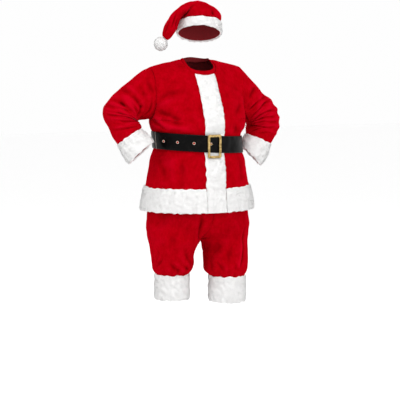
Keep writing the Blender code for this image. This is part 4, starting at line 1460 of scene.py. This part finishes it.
@dataclass
class Trousers:
    """The trousers: four panels, a waistband and a fur cuff on each leg."""

    room: Workroom
    crotch: float = 0.675
    rise: float = 0.150
    middle: float = 0.005
    across: int = 84
    cuff_rows: int = 24
    half_girth: float = 0.38
    mix: float = 0.014  # how far apart rows near the crotch are mixed
    mixed: float = 0.035  # how far from the crotch that goes on
    gather: Gather = Gather(0.0022, 0.0085, 1.6, 0.031)
    seam: float = 0.0016
    seam_width: float = 0.007
    cleft: tuple[float, float] = (0.0010, 0.0040)  # the depth of the front and back middle seam
    gathered: tuple[float, ...] = (-0.004, 0.010, 0.010, 0.055)  # above the fur
    band_tall: float = 0.035
    cut: Cut = Cut(0.40, 0.76, 1.03)
    cuff_cut: Cut = Cut(0.62, 0.13, 1.05)
    band_cut: Cut = Cut(1.25, 0.04, 1.03)
    # height, centre x, centre y, half width, half depth
    right_leg: Table = (
        (366, -132, 20, 81.5, 82), (420, -132, 20, 81, 82), (476, -132, 20, 81, 82),
        (496, -131, 20, 85, 87), (513, -131, 19, 96, 103), (545, -130, 16, 104, 119),
        (600, -134.5, 10, 107, 130), (643, -132.5, 4, 118, 140), (675, -126, 0, 131, 154),
    )
    left_leg: Table = (
        (346, 149, -45, 88, 86), (402, 149, -45, 88, 86), (460, 149, -45, 88, 86),
        (480, 147, -44, 92, 91), (498, 144, -40, 108, 106), (540, 147, -32, 114, 119),
        (600, 151, -18, 115.5, 132), (648, 149, -5, 118, 142), (675, 136, 0, 131, 154),
    )
    # height, half width, front, back
    hips: Table = (
        (675, 262, 156, 156), (705, 269, 166, 166), (745, 273, 178, 178), (806, 270, 190, 190),
        (880, 256, 193, 192), (960, 232, 186, 184), (1050, 205, 176, 172),
    )
    # u is the share from the inner seam to the outer one times half_girth, and v the height.
    folds: Table = (
        (300, 690, 620, 575, 22, 6), (720, 800, 700, 560, 26, 6), (250, 760, 450, 700, 20, 5),
        (150, 520, 200, 560, 18, 5), (450, 515, 470, 560, 16, 5), (750, 515, 700, 570, 18, 5),
    )
    # The third row is a deep trough up from the crotch, deep enough to take the full painted
    # shade.
    right_creases: Table = (
        (333, 615, 374, 536, 8, -6, -6, 400), (309, 581, 362, 531, 8, -7.5, -2, 400),
        (59, 817, 90, 686, 12, -10, -15, 300), (190, 645, 101, 536, 13, -5, 8, 400),
        (208, 576, 119, 521, 9.5, -7, 10, 400), (267, 566, 214, 526, 11, -6, 2, 400),
        (374, 752, 368, 630, 11, -4, 3, 400), (178, 576, 131, 516, 8, -3.5, 4, 400),
        (249, 703, 226, 605, 20, -2.5, 6, 300),
    )
    left_creases: Table = (
        (243, 725, 220, 518, 8, -7.5, 5, 500), (232, 719, 208, 529, 7, 3.5, -1),
        (107, 650, 53, 583, 15, -3, 0, 400), (85, 556, 137, 491, 9, -5.5, 6, 400),
        (42, 583, 59, 507, 11, -6, -3, 400), (160, 626, 166, 529, 17, -3.5, -15, 300),
        (175, 556, 220, 491, 8, -5.5, 2, 400),
    )
    back_creases: Table = (
        (45, 655, 150, 620, 11, -5, 6, 300), (30, 620, 110, 570, 10, -4, -4, 300),
        (170, 700, 260, 660, 13, -4, 6, 300), (285, 690, 275, 540, 12, -5.5, 6, 400),
        (320, 640, 330, 530, 11, -3.5, -4, 300), (120, 760, 200, 720, 14, -3.5, 6, 300),
        (200, 560, 150, 515, 10, -4.5, 6, 300),
    )

    def leg(self, side: Side) -> Table:
        """The table of a leg."""
        return self.left_leg if side is Side.LEFT else self.right_leg

    def heights(self, rows: Table) -> Array:
        """Heights of a leg's rows from its end to the waist.

        Args:
            rows: The leg's table.

        Returns:
            The heights.
        """
        low, top = rows[0][0] / 1000, rows[3][0] / 1000
        cuff = np.linspace(low, top, self.cuff_rows + 1)
        leg = np.linspace(top, self.crotch, 43)[1:]
        turn = self.crotch + self.rise * (1 - np.cos(np.linspace(0, 1, 29)[1:] * np.pi / 2))
        above = np.linspace(self.crotch + self.rise, self.hips[-1][0] / 1000, 25)[1:]
        return np.concatenate([cuff, leg, turn, above])

    def panel(self, side: Side, back: bool) -> tuple[Array, Array]:
        """Half a leg from its end to the waist: half a ring round the leg, which turns into a
        quarter of the ring round the hips by the share
        ease(r) + (sqrt(1 - (1-r)^2) - ease(r)) (1-u)^3 of the rise r above the crotch. Rows
        near the crotch are mixed with their neighbours, so no line shows there.

        Args:
            side: The leg.
            back: Whether it is the back panel.

        Returns:
            Rows of points, and the share from the inner seam to the outer one.
        """
        rows = self.leg(side)
        u = np.linspace(0, 1, self.across + 1)
        heights = self.heights(rows)[:, None]
        cx, cy, a, b = table(rows, np.minimum(heights, self.crotch))
        half, fore, behind = table(self.hips, np.maximum(heights, self.crotch))
        depth = behind if back else fore
        sign = 1.0 if back else -1.0
        leg_x = cx - side.value * a * np.cos(np.pi * u)
        leg_y = cy + sign * b * np.sin(np.pi * u)
        hip_x = self.middle + side.value * half * np.sin(np.pi * u / 2)
        hip_y = sign * depth * np.cos(np.pi * u / 2)
        rise = np.clip((heights - self.crotch) / self.rise, 0, 1)
        start = 1 - np.exp(-rise / (0.0005 + 0.030 * ease(u / 0.15)))
        turn = ease(rise) + (
            np.sqrt(1 - (1 - rise) ** 2) * start - ease(rise)) * (1 - u) ** 3
        spread = (hip_x[:, -1:] - self.middle) / (leg_x[:, -1:] - self.middle)
        spread = np.where(rise > 0, spread, 1.0)
        leg_x = self.middle + (leg_x - self.middle) * spread
        x = (1 - turn) * leg_x + turn * hip_x
        y = (1 - turn) * leg_y + turn * hip_y
        near = bell(heights - heights[:, 0], self.mix) * np.gradient(heights[:, 0])
        near = near / near.sum(axis=1, keepdims=True)
        where = bell(heights - self.crotch, self.mixed) * ease((u - 0.03) / 0.2)
        x, y = (part + where * (near @ part - part) for part in (x, y))
        return np.stack([x, y, np.broadcast_to(heights, x.shape)], axis=-1), u

    def folded(self, grid: Array, u: Array, side: Side, back: bool) -> Panel:
        """The panel with its folds, gathers above the fur and the wear's unevenness.

        Args:
            grid: Its smooth points.
            u: The share across of each column.
            side: The leg.
            back: Whether it is the back panel.

        Returns:
            The folded panel.
        """
        normal = grid_normals(grid)
        z = grid[..., 2]
        top = self.leg(side)[3][0] / 1000
        metres = np.broadcast_to(u, z.shape) * self.half_girth
        free = np.sin(np.pi * np.clip(u, 0, 1)) ** 0.5 * ease((z - top - 0.004) / 0.03)
        creases = self.left_creases if side is Side.LEFT else self.right_creases
        lift = creased(self.folds + (self.back_creases if back else creases), metres, z)
        lift = (lift + Lumps(0.0013, 0.075, 60 + side.value).at(grid)) * free
        near = between(z - top, *self.gathered) * np.sin(np.pi * np.clip(u, 0, 1)) ** 0.3
        lift = lift + self.gather.at(metres, side.value) * near
        edge = np.minimum(u, 1 - u) * self.half_girth
        lift = lift - self.seam * bell(edge, self.seam_width) * ease((z - top) / 0.03)
        middle = bell(u * self.half_girth, 0.012) * ease((z - self.crotch + 0.02) / 0.06)
        lift = lift - self.cleft[int(back)] * middle
        points = grid + normal * lift[..., None]
        return Panel(points, grid_normals(points), lift)

    def build(self) -> None:
        """Makes and dresses every piece of the trousers."""
        for side in Side:
            label = side.name.lower()
            panels = []
            for back in (False, True):
                grid, u = self.panel(side, back)
                if (side is Side.LEFT) == back:
                    grid, u = grid[:, ::-1], u[::-1]
                panels.append(self.folded(grid, u, side, back))
                name = f"trouser_{'back' if back else 'front'}_{label}"
                sheet = panels[-1].sheet().turned_in(LIE, "lr")
                self.room.plush(name, sheet, self.cut, Held.HUNG, "trouser_waistband")
            self.cuff(side, panels)
        self.waistband()

    def cuff(self, side: Side, panels: Sequence[Panel]) -> None:
        """The fur round the end of one leg.

        Args:
            side: The leg.
            panels: Its front and its back.
        """
        rows = np.s_[:self.cuff_rows + 1, :-1]
        ring = np.concatenate([panel.points[rows] for panel in panels], axis=1)
        n = np.concatenate([panel.normals[rows] for panel in panels], axis=1)
        for k in (0, self.across):
            n[:, k] = unit(n[:, k - 1] + n[:, k + 1])
        name, value = side.name.lower(), side.value
        form = Form(0.0078, Lumps(0.22, 0.036, 77), Lumps(0.0026, 0.032, 71 + value),
                    Lumps(0.0026, 0.032, 74 + value))
        self.room.strip(f"trouser_cuff_{name}", ring, n, form, self.cuff_cut,
                        f"trouser_front_{name}", 80 + value)

    def waistband(self) -> None:
        """The band round the top of the trousers, under the jacket."""
        turn = circle(96)
        height, half, front, back = (number / 1000 for number in self.hips[-1])
        level = np.linspace(0, 1, 7)[:, None]
        depth = np.where(np.cos(turn) > 0, front, back)
        ring = np.stack([
            self.middle + (half - 0.002 * level) * np.sin(turn),
            -depth * np.cos(turn) * (1 - 0.01 * level),
            height + 0.0004 + self.band_tall * level + 0 * turn,
        ], axis=-1)
        sheet = Sheet(ring, grid_normals(ring, True), True)
        self.room.plush(
            "trouser_waistband", sheet, self.band_cut, Held.GATHERED, "the wearer's waist")


@dataclass
class Hat:
    """The hat: a crown whose tail folds over to the wearer's right, a fur band and a pompom."""

    room: Workroom
    turn: float = -25.0
    centre: tuple[float, float] = (0.0012, -0.0066)
    ball: Point = (-0.1840, 0.0790, 1.6586)
    ball_size: float = 0.037
    ball_lumps: Lumps = Lumps(0.0007, 0.030, 97)
    ball_pile: Pile = Pile(length=0.0038, width=0.0016, droop=0.60, each=1.1e-6)
    ball_hair: float = 0.0036  # how much of the ball's radius is its hair
    around: int = 144
    band_rows: int = 19
    gather: Gather = Gather(0.0012, 1 / 26, 2.2, 1 / 3)
    waist: float = 0.185  # the share of the length where the band gathers the crown
    wear: Lumps = Lumps(0.0016, 0.060, 90)
    crease_span: tuple[float, ...] = (0.16, 0.05, 0.93, 0.06)
    cut: Cut = Cut(0.72, 0.44, 1.04)
    band_cut: Cut = Cut(0.72, 0.07, 1.05)
    band_form: Form = Form(
        0.0076, Lumps(0.20, 0.036, 93), Lumps(0.0020, 0.032, 91), Lumps(0.0020, 0.032, 92))
    # inner across, inner height, outer across, outer height, toward, depth, tilt in degrees
    rows: Table = (
        (-99, 1708.5, 112, 1708.5, 0, 112, 22), (-98, 1737.5, 112, 1737.5, 0, 112, 19),
        (-96, 1765.5, 112, 1766.5, 0, 111, 16), (-93, 1780.5, 113, 1790.5, 4, 109, 10),
        (-84, 1792.5, 92, 1821.5, 12, 102, 4), (-76, 1798.5, 52, 1855.5, 26, 90, 0),
        (-73, 1801.5, 8, 1871.5, 42, 77, 0), (-75, 1802.5, -46, 1865.5, 60, 63, 0),
        (-79, 1796.5, -91, 1840.5, 78, 52, 0), (-86, 1782.5, -134, 1799.5, 90, 43, 0),
        (-95, 1758.5, -160, 1757.5, 92, 37, 0), (-104, 1728.5, -174, 1724.5, 90, 32, 0),
        (-126, 1694.5, -178, 1707.5, 84, 25, 0), (-150, 1675.5, -175, 1696, 80, 16, 0),
    )
    # u is the turn from the outer side over the back, in turns, and v the share of the length.
    creases: Table = (
        (806, 468, 604, 241, 20, -7, -75, 400), (618, 468, 604, 208, 14, -8, -31),
        (812, 664, 715, 805, 20, -6.5, 26, 500), (833, 750, 833, 902, 20, -4, -7, 400),
        (917, 327, 868, 186, 16, -9, -19, 300), (985, 215, 990, 330, 45, 11),
        (500, 400, 500, 640, 70, 9), (660, 718, 590, 870, 14, -4.5, 2, 400),
        (910, 371, 833, 251, 20, -3, -6, 300), (120, 300, 280, 500, 36, -5, 6, 400),
        (340, 260, 400, 480, 34, -4.5, 0, 400), (100, 560, 300, 700, 34, -3.5, 0, 300),
        (50, 190, 950, 200, 22, 3),
    )

    def axes(self) -> tuple[Array, Array]:
        """The ways to the wearer's left and forward, in the turned frame of the hat."""
        turn = np.radians(self.turn)
        return (np.array((np.cos(turn), np.sin(turn), 0.0)),
                np.array((np.sin(turn), -np.cos(turn), 0.0)))

    def rings(self) -> tuple[Array, Array]:
        """Rings c + h cos a - f d sin a from the brim over the dome to the tail's end.

        Returns:
            The rings, and each one's share of the length.
        """
        right, toward = self.axes()
        up = np.array(UP)
        at = np.concatenate([np.linspace(0, 2, self.band_rows)[:-1], np.linspace(2, 13, 79)])
        ia, ih, oa, oh, fore, depth, tilt = spaced(np.array(self.rows) / 1000, at)
        start = np.array((*self.centre, 0.0)) + fore[:, None] * toward
        inner = start + ia[:, None] * right + ih[:, None] * up
        outer = start + oa[:, None] * right + oh[:, None] * up
        centre, half = (inner + outer) / 2, (outer - inner) / 2
        tilt = np.radians(tilt * 1000)[:, None]
        facing = np.cos(tilt) * toward + np.sin(tilt) * up
        rings = tube(centre, half, -facing * depth[:, None], circle(self.around))
        return rings, at / (len(self.rows) - 1)

    def build(self) -> None:
        """Makes and dresses the crown, the band and the pompom."""
        rings, v = self.rings()
        n = grid_normals(rings, True)
        u = np.arange(self.around) / self.around
        late = between(v, *self.crease_span)[:, None]
        lift = creased(self.creases, u[None], v[:, None], 1.0) * late
        lift = lift + self.wear.at(rings) * late
        lift = lift + self.gather.at(2 * np.pi * u) * bell(v - self.waist, 0.028)[:, None]
        folded = rings + n * lift[..., None]
        sheet = Sheet(folded[2:], grid_normals(folded, True)[2:], True, lift[2:])
        self.room.plush("hat_crown", sheet, self.cut, Held.DRAPED, "the wearer's head")
        rows = self.band_rows
        self.room.strip(
            "hat_band", rings[:rows], n[:rows], self.band_form, self.band_cut, "hat_crown", 94)
        self.pompom()

    def pompom(self) -> None:
        """The ball of fur: a lumpy ball of foot fur under long loose hairs."""
        f = self.room.finishes
        right, toward = self.axes()
        across, fore, height = self.ball
        middle = np.array((*self.centre, height)) + across * right + fore * toward
        down = np.pi * (0.001 + 0.998 * np.linspace(0, 1, 41))[::-1, None]
        turn = circle(64)
        way = np.stack([np.sin(down) * np.cos(turn), np.sin(down) * np.sin(turn),
                        np.cos(down) + 0 * turn], axis=-1)
        foot = self.ball_size - self.ball_hair
        size = foot + self.ball_lumps.at(way * self.ball_size)
        cover = Sheet(middle + way * size[..., None], way, True)
        poles = middle + np.array((DOWN, UP)) * foot
        ball = object_of("hat_pompom_ball", *plugged(cover.points, poles), (0, 0), (f.ground,))
        hair = self.ball_pile.grow("hat_pompom_pile", cover, f.hair, 98)
        dress((ball, hair), "hat_pompom")


@dataclass
class Belt:
    """The belt: a coated strap, a brass frame, its prong and four eyelets."""

    room: Workroom
    rings: Table
    low: float = 1.124
    high: float = 1.208
    thick: float = 0.0035
    slope: float = 0.014
    step: float = 6.8
    steps: int = 64
    start: float = -84.8
    drop: tuple[float, float] = (-10.0, 6.0)  # where the upper layer comes down
    per_step: int = 8
    cut: Cut = Cut(1.84, 0.085, 1.01)
    off: float = 0.0016  # how far it lies off the plush
    off_fur: float = 0.0048  # and how much farther over the fur
    gap: float = 0.0005  # between its two layers
    wear: tuple[Lumps, Lumps] = (Lumps(0.00055, 0.075, 110), Lumps(0.00025, 0.030, 111))
    turned: float = 0.0004  # how far its edges sink
    stitch: float = 0.00045
    stitch_in: float = 0.0045  # the distance of the stitched line from the edge
    buckle_centre: tuple[float, float] = (-0.009, 1.156)
    buckle_size: tuple[float, float] = (0.074, 0.117)
    bar: float = 0.0125
    buckle_back: float = -0.22382
    corner: float = 0.006  # how much of the frame's outer corners is cut off
    corner_less: float = 0.004  # and how much less of its inner ones
    hammered: float = 0.00022
    eyelet_angles: tuple[float, ...] = (-6.6, -27.0, -47.4, -67.8)
    prong_height: float = 1.1665
    prong_length: float = 0.0158
    prong_radius: float = 0.0025
    # inset and height of the frame's section; radius and height of an eyelet's
    bar_profile: Table = (
        (0, 0.8), (0, 3.6), (0.4, 4.4), (1.2, 4.9), (3.5, 5.1), (9, 5.1), (11.3, 4.9), (12.1, 4.4),
        (12.5, 3.6), (12.5, 0.8), (12.1, 0), (0.4, 0),
    )
    eyelet_profile: Table = (
        (7.2, 0.2), (7.1, 1), (6.6, 1.5), (6, 1.7), (5.4, 1.4), (5, 0.8), (4.8, 0),
    )

    def point(self, angle: Array, height: Union[float, Array], lift: Array) -> Array:
        """Points round the belt: the jacket's ring at the angle and at height - slope sin a,
        moved out.

        Args:
            angle: The angles, from the front towards the wearer's left.
            height: The height in the middle.
            lift: How far the points are moved out.

        Returns:
            The points.
        """
        height = height - self.slope * np.sin(angle)
        data = np.array(self.rings) / 1000
        half, front, back = (np.interp(height, data[:, 0], data[:, k]) for k in (1, 2, 3))
        depth = np.where(np.cos(angle) > 0, front, back)
        n = unit(np.stack([np.sin(angle) / half, -np.cos(angle) / depth, 0 * angle * height],
                          axis=-1))
        x, y = half * np.sin(angle), -depth * np.cos(angle)
        return np.stack([x, y, height + 0 * angle], axis=-1) + n * lift[..., None]

    def strap(self) -> list[Array]:
        """The strap from its free tip over its fixed end, under the buckle and once round: for
        each angle a straight line between its lower and upper edge, softly waved.

        Returns:
            Its lower and its upper edge.
        """
        f = self.room.finishes
        count = self.steps
        coarse = np.radians(self.start + self.step * np.arange(count + 1.0))
        fine = np.linspace(0, count, count * self.per_step + 1)
        low, high = np.radians(self.drop)
        over = 1 - ease((coarse - low) / (high - low))
        plain = self.point(coarse, 1.168, 0 * coarse)
        over_fur = ease((0.082 - np.abs(plain[:, 0])) / 0.022) * (plain[:, 1] < 0)
        lift = self.off + self.off_fur * over_fur + over * (self.thick + self.gap) + self.thick
        edges = [
            np.stack(spaced(self.point(coarse, height, lift), fine), axis=-1)
            for height in (self.low, self.high)]
        t = np.linspace(0, 1, 19)[:, None, None]
        grid = edges[0][None] * (1 - t) + edges[1][None] * t
        n = grid_normals(grid)
        wave = sum(wear.at(grid) for wear in self.wear)
        wave = wave - self.turned * (np.abs(2 * t[..., 0] - 1) ** 10)
        tip = ease(np.arange(fine.size) / 10)[None]
        grid = grid + n * (wave * tip)[..., None]
        inset = np.minimum(t, 1 - t)[..., 0] * (self.high - self.low) - self.stitch_in
        grid = grid - n * (self.stitch * bell(inset, 0.0009))[..., None]
        sheet = Sheet(grid, grid_normals(grid))
        piece = sheet.shell("belt_strap_vinyl", self.thick, f.vinyl, f.edge, 1, 1)
        self.room.state([piece], "belt_strap", "black_vinyl", self.cut, self.cut.area(sheet),
                        Held.GATHERED, "the jacket")
        return edges

    def frame(self) -> None:
        """The frame: a cut-cornered rectangle, drawn in and raised as its section says."""
        w, h = self.buckle_size[0] / 2, self.buckle_size[1] / 2
        rows = []
        for inset, level in np.array(self.bar_profile) / 1000:
            cut = self.corner - self.corner_less * inset / self.bar
            a, b = w - inset, h - inset
            corners = np.array([
                (a, -b + cut), (a, b - cut), (a - cut, b), (-a + cut, b), (-a, b - cut),
                (-a, -b + cut), (-a + cut, -b), (a - cut, -b), (a, -b + cut),
            ])
            steps = np.linspace(0, 8, 8 * 12 + 1)[:-1]
            x = np.interp(steps, np.arange(9), corners[:, 0])
            z = np.interp(steps, np.arange(9), corners[:, 1])
            wobble = self.hammered * np.sin(steps * 2.7) * (0.001 < inset < 0.012)
            rows.append(np.stack([self.buckle_centre[0] + x,
                                  np.full_like(x, self.buckle_back) - level - wobble,
                                  self.buckle_centre[1] + z], axis=-1))
        at = looped(numbered(len(rows), len(rows[0])))
        at = np.concatenate([at, at[:1]])
        piece = object_of("belt_buckle_frame", np.array(rows), [quads(at)], (0,),
                          (self.room.finishes.brass,))
        dress([piece], "belt_buckle")

    def prong(self) -> None:
        """The prong: a round bar that tapers from the frame's side bar onto the strap, its
        radius falling as r (1 - 0.38 s^2), with a domed end from s = 0.86 on."""
        s = np.array((0.0, 0.04, 0.2, 0.4, 0.6, 0.78, 0.88, 0.95, 0.99))[:, None]
        start = self.buckle_centre[0] - self.buckle_size[0] / 2 + self.bar + 0.0002
        dome = np.sqrt(np.clip(1 - ((s - 0.86) / 0.141) ** 2 * (s > 0.86), 0, 1))
        size = self.prong_radius * (1 - 0.38 * s ** 2) * dome
        turn = circle(24)
        ring = np.stack([
            start + self.prong_length * s + 0 * turn,
            self.buckle_back - 0.0024 - size * np.cos(turn),
            self.prong_height + size * np.sin(turn),
        ], axis=-1)[:, ::-1]
        ends = np.stack([ring[0].mean(axis=0), ring[-1].mean(axis=0) + (0.0003, 0, 0)])
        piece = object_of("belt_prong_bar", *plugged(ring, ends), (0, 0),
                          (self.room.finishes.brass,))
        dress([piece], "belt_prong")

    def eyelets(self, low: Array, high: Array) -> None:
        """The eyelets: a small section turned round, lying on the strap, with the plush that
        shows through as a disc inside.

        Args:
            low: The strap's lower edge.
            high: Its upper edge.
        """
        f = self.room.finishes
        r, level = np.array(self.eyelet_profile).T[..., None] / 1000
        turn = circle(48)
        for number, degrees in enumerate(self.eyelet_angles, 1):
            where = (degrees - self.start) / self.step * self.per_step
            k, j = int(round(where)), int(where)
            share = where - j
            mid = [(e[j] * (1 - share) + e[j + 1] * share) for e in (low, high)]
            spot = (mid[0] + mid[1]) / 2
            along, rise = unit(low[k + 3] - low[k - 3]), unit(mid[1] - mid[0])
            out = unit(np.cross(along, rise))
            ring = spot + (
                (r * np.cos(turn))[..., None] * along + (r * np.sin(turn))[..., None] * rise
                + (level + 0 * turn)[..., None] * out
            )
            at = looped(numbered(*ring.shape[:2]))
            at = np.concatenate([at, at[:1]])
            hole = (ring[-1] - spot) * 0.97
            hole, fans = plugged(spot + np.stack([hole, hole + out * 0.0008]),
                                 spot + np.array((0.0, 0.0010))[:, None] * out)
            piece = object_of(
                f"eyelet_{number}_ring", np.concatenate([ring.reshape(-1, 3), hole]),
                [quads(at), *(fan + ring.size // 3 for fan in fans)], (0, 1, 1),
                (f.eyelet, f.plush))
            dress([piece], f"eyelet_{number}")

    def build(self) -> None:
        """Makes and dresses every piece of the belt."""
        low, high = self.strap()
        self.frame()
        self.prong()
        self.eyelets(low, high)


@dataclass
class Studio:
    """The pale floor, the soft lights and the camera."""

    finishes: Finishes
    azimuth: float = -25.0
    elevation: float = 6.5
    distance: float = 7.0
    lens: float = 36.0 * 7.0 / 2.04
    # azimuth, elevation, distance, side, watts
    lights: Table = (
        (-68.0, 30.0, 4.2, 2.0, 22.0), (32.0, 18.0, 4.6, 2.0, 30.0),
        (165.0, 44.0, 4.4, 2.2, 38.0), (-20.0, 52.0, 5.0, 1.0, 66.0),
    )
    lit: Point = (0.0, 0.0, -0.75)  # what the lights face
    seen: tuple[float, float] = (0.015, 0.867)  # how far left and how high the camera looks
    floor_half: float = 18.0
    sky: float = 0.99

    def aim(
        self, obj: Thing, azimuth: float, elevation: float, far: float, target: Sequence[float],
    ) -> None:
        """Stands an object at target + far * (cos e sin a, -cos e cos a, sin e), facing it.

        Args:
            obj: The object.
            azimuth: a, in degrees.
            elevation: e, in degrees.
            far: The distance.
            target: What it faces.
        """
        a, e = np.radians((azimuth, elevation))
        way = np.array((np.cos(e) * np.sin(a), -np.cos(e) * np.cos(a), np.sin(e)))
        obj.location = np.array(target) + far * way
        obj.rotation_euler = (np.pi / 2 - e, 0.0, a)

    def build(self) -> None:
        """Makes the floor, the lights, the world and the camera."""
        scene = bpy.context.scene
        square = ((-1, -1, 0), (1, -1, 0), (1, 1, 0), (-1, 1, 0.0))
        corners = self.floor_half * np.array(square)
        floor = object_of("floor", corners, [np.arange(4)[None]], (0,), (self.finishes.floor,))
        for number, (azimuth, elevation, far, side, watts) in enumerate(self.lights, 1):
            data = bpy.data.lights.new(f"softbox_{number}", "AREA")
            data.shape = "SQUARE"
            data.size, data.energy = side, watts
            lamp = bpy.data.objects.new(f"softbox_{number}", data)
            scene.collection.objects.link(lamp)
            self.aim(lamp, azimuth, elevation, far, self.lit)
        world = bpy.data.worlds.new("studio")
        world.use_nodes = True
        back = world.node_tree.nodes["Background"]
        back.inputs["Color"].default_value = (1.0, 1.0, 1.0, 1.0)
        back.inputs["Strength"].default_value = self.sky
        scene.world = world
        scene.view_settings.view_transform = "Standard"
        data = bpy.data.cameras.new("camera")
        data.lens, data.sensor_width = self.lens, 36.0
        camera = bpy.data.objects.new("camera", data)
        scene.collection.objects.link(camera)
        a = np.radians(self.azimuth)
        left, high = self.seen
        target = (left * np.cos(a), left * np.sin(a), high - HOLD)
        self.aim(camera, self.azimuth, self.elevation, self.distance, target)
        scene.camera = camera


# The sleeves' rows are inner x, inner y, inner height, outer x, outer y, outer height, depth;
# u of a crease is the turn from the top over the front, and v the share of the length.
RIGHT_SLEEVE: Table = (
    (259, 32, 1284, 299, 35, 1515, 80), (271, 36, 1282, 339, 40, 1484, 83),
    (286, 40, 1281, 380, 48, 1450, 86), (299, 44, 1280, 434, 60, 1402, 88),
    (308, 47, 1278, 466, 70, 1359, 89), (312, 45, 1275, 481, 72, 1324, 89),
    (312, 40, 1270, 478, 66, 1291, 87), (309, 26, 1262, 462, 45, 1248, 83),
    (306, 10, 1253, 454, 26, 1215, 78), (309, -8, 1245, 441, 8, 1181, 71),
    (321, -26, 1233, 422, -10, 1150, 60), (308, -46, 1215, 416, -32, 1125, 62),
    (292, -66, 1195, 407, -54, 1100, 66), (279, -84, 1176, 397, -74, 1077, 69),
)
LEFT_SLEEVE: Table = (
    (267, 32, 1271, 310, 35, 1484, 80), (282, 36, 1267, 357, 45, 1442, 83),
    (297, 40, 1261, 393, 56, 1404, 86), (308, 43, 1254, 438, 72, 1364, 87),
    (318, 45, 1248, 474, 88, 1325, 88), (322, 46, 1240, 491, 94, 1287, 88),
    (323, 46, 1232, 495, 92, 1249, 86), (320, 44, 1223, 486, 82, 1210, 82),
    (314, 40, 1214, 467, 68, 1183, 76), (308, 36, 1202, 449, 56, 1155, 69),
    (303, 30, 1183, 426, 48, 1130, 60), (286, 26, 1164, 415, 42, 1098, 61),
    (277, 20, 1146, 394, 36, 1068, 63), (269, 13, 1129, 365, 30, 1039, 65),
)
RIGHT_FOLDS: Table = (
    (100, 180, 420, 340, 35, 8), (20, 300, 440, 400, 30, 9), (-50, 380, 400, 460, 28, 7),
    (50, 500, 420, 490, 26, 8), (100, 600, 440, 550, 26, 7), (750, 250, 600, 420, 34, 8),
    (850, 480, 620, 500, 30, 8),
)
LEFT_FOLDS: Table = (
    (120, 160, 420, 330, 34, 8), (20, 270, 440, 400, 28, 9), (0, 370, 420, 450, 24, 7),
    (20, 460, 420, 490, 24, 8), (30, 550, 420, 540, 24, 8), (60, 640, 420, 580, 24, 6),
    (750, 250, 600, 420, 34, 8), (850, 500, 600, 500, 30, 8),
)
RIGHT_CREASES: Table = (
    (43, 232, 286, 179, 16, -9, 2, 500), (286, 179, 364, 286, 13, -7, -8, 400),
    (43, 312, 343, 277, 12, -7.5, -10, 500), (79, 259, 193, 286, 12, -4, 1, 400),
    (214, 232, 336, 259, 11, -6, -12, 400), (36, 366, 264, 286, 11, -5, 17, 500),
    (200, 312, 350, 295, 10, -6, 0, 400), (64, 411, 300, 339, 10, -4.5, 23, 500),
    (93, 455, 343, 402, 11, -5.5, 5, 500), (150, 518, 386, 518, 11, -4.5, 9, 400),
    (121, 562, 207, 589, 15, -4, -15, 300), (86, 616, 336, 643, 12, -4.5, 6, 400),
    (71, 170, 229, 152, 20, -4, 10, 400), (143, 125, 264, 98, 22, -5.5, 4, 400),
    (129, 62, 229, 36, 20, -5.5, 8, 400), (279, 54, 371, 152, 14, -6, -25, 400),
    (930, 235, 700, 185, 18, -7, 10, 500), (900, 320, 640, 285, 16, -6.5, -10, 500),
    (930, 395, 660, 345, 14, -5, 10, 400), (880, 470, 640, 430, 14, -5, 10, 400),
    (860, 90, 680, 130, 22, -5, 10, 400), (850, 580, 650, 550, 14, -4, 0, 300),
)
LEFT_CREASES: Table = (
    (100, 250, 343, 62, 14, -6, 41, 500), (136, 304, 407, 259, 12, -8.5, -12, 500),
    (186, 411, 429, 339, 11, -8, -21, 500), (221, 464, 464, 357, 11, -6, 5, 500),
    (221, 509, 443, 429, 10, -5, 14, 500), (236, 554, 493, 464, 10, -6.5, 40, 500),
    (464, 705, 343, 562, 11, -4.5, 20, 400), (86, 143, 300, 54, 18, -5.5, -14, 400),
    (171, 27, 321, 18, 16, -5, -5, 400), (243, 116, 343, 36, 12, -5, 3, 400),
    (393, 36, 471, 259, 20, -7, -6), (193, 312, 250, 295, 12, -5, 9, 300),
    (264, 634, 379, 688, 12, -3.5, -11, 300), (920, 250, 690, 130, 18, -6.5, 20, 500),
    (900, 330, 620, 265, 16, -7, -10, 500), (870, 420, 590, 350, 14, -6, -10, 400),
    (850, 505, 580, 440, 14, -5, 10, 400), (870, 100, 700, 60, 22, -5, 10, 400),
    (800, 600, 610, 560, 14, -4, 0, 300),
)


def main() -> None:
    """Builds the suit and the studio."""
    logging.basicConfig(level=logging.INFO, format="%(name)s: %(message)s")
    room = Workroom(Finishes())
    jacket = Jacket(room)
    jacket.build((
        Sleeve(room, Side.RIGHT, RIGHT_SLEEVE, RIGHT_FOLDS, RIGHT_CREASES),
        Sleeve(room, Side.LEFT, LEFT_SLEEVE, LEFT_FOLDS, LEFT_CREASES),
    ))
    Trousers(room).build()
    Hat(room).build()
    Belt(room, jacket.rings).build()
    Studio(room.finishes).build()


if __name__ == "__main__":
    main()
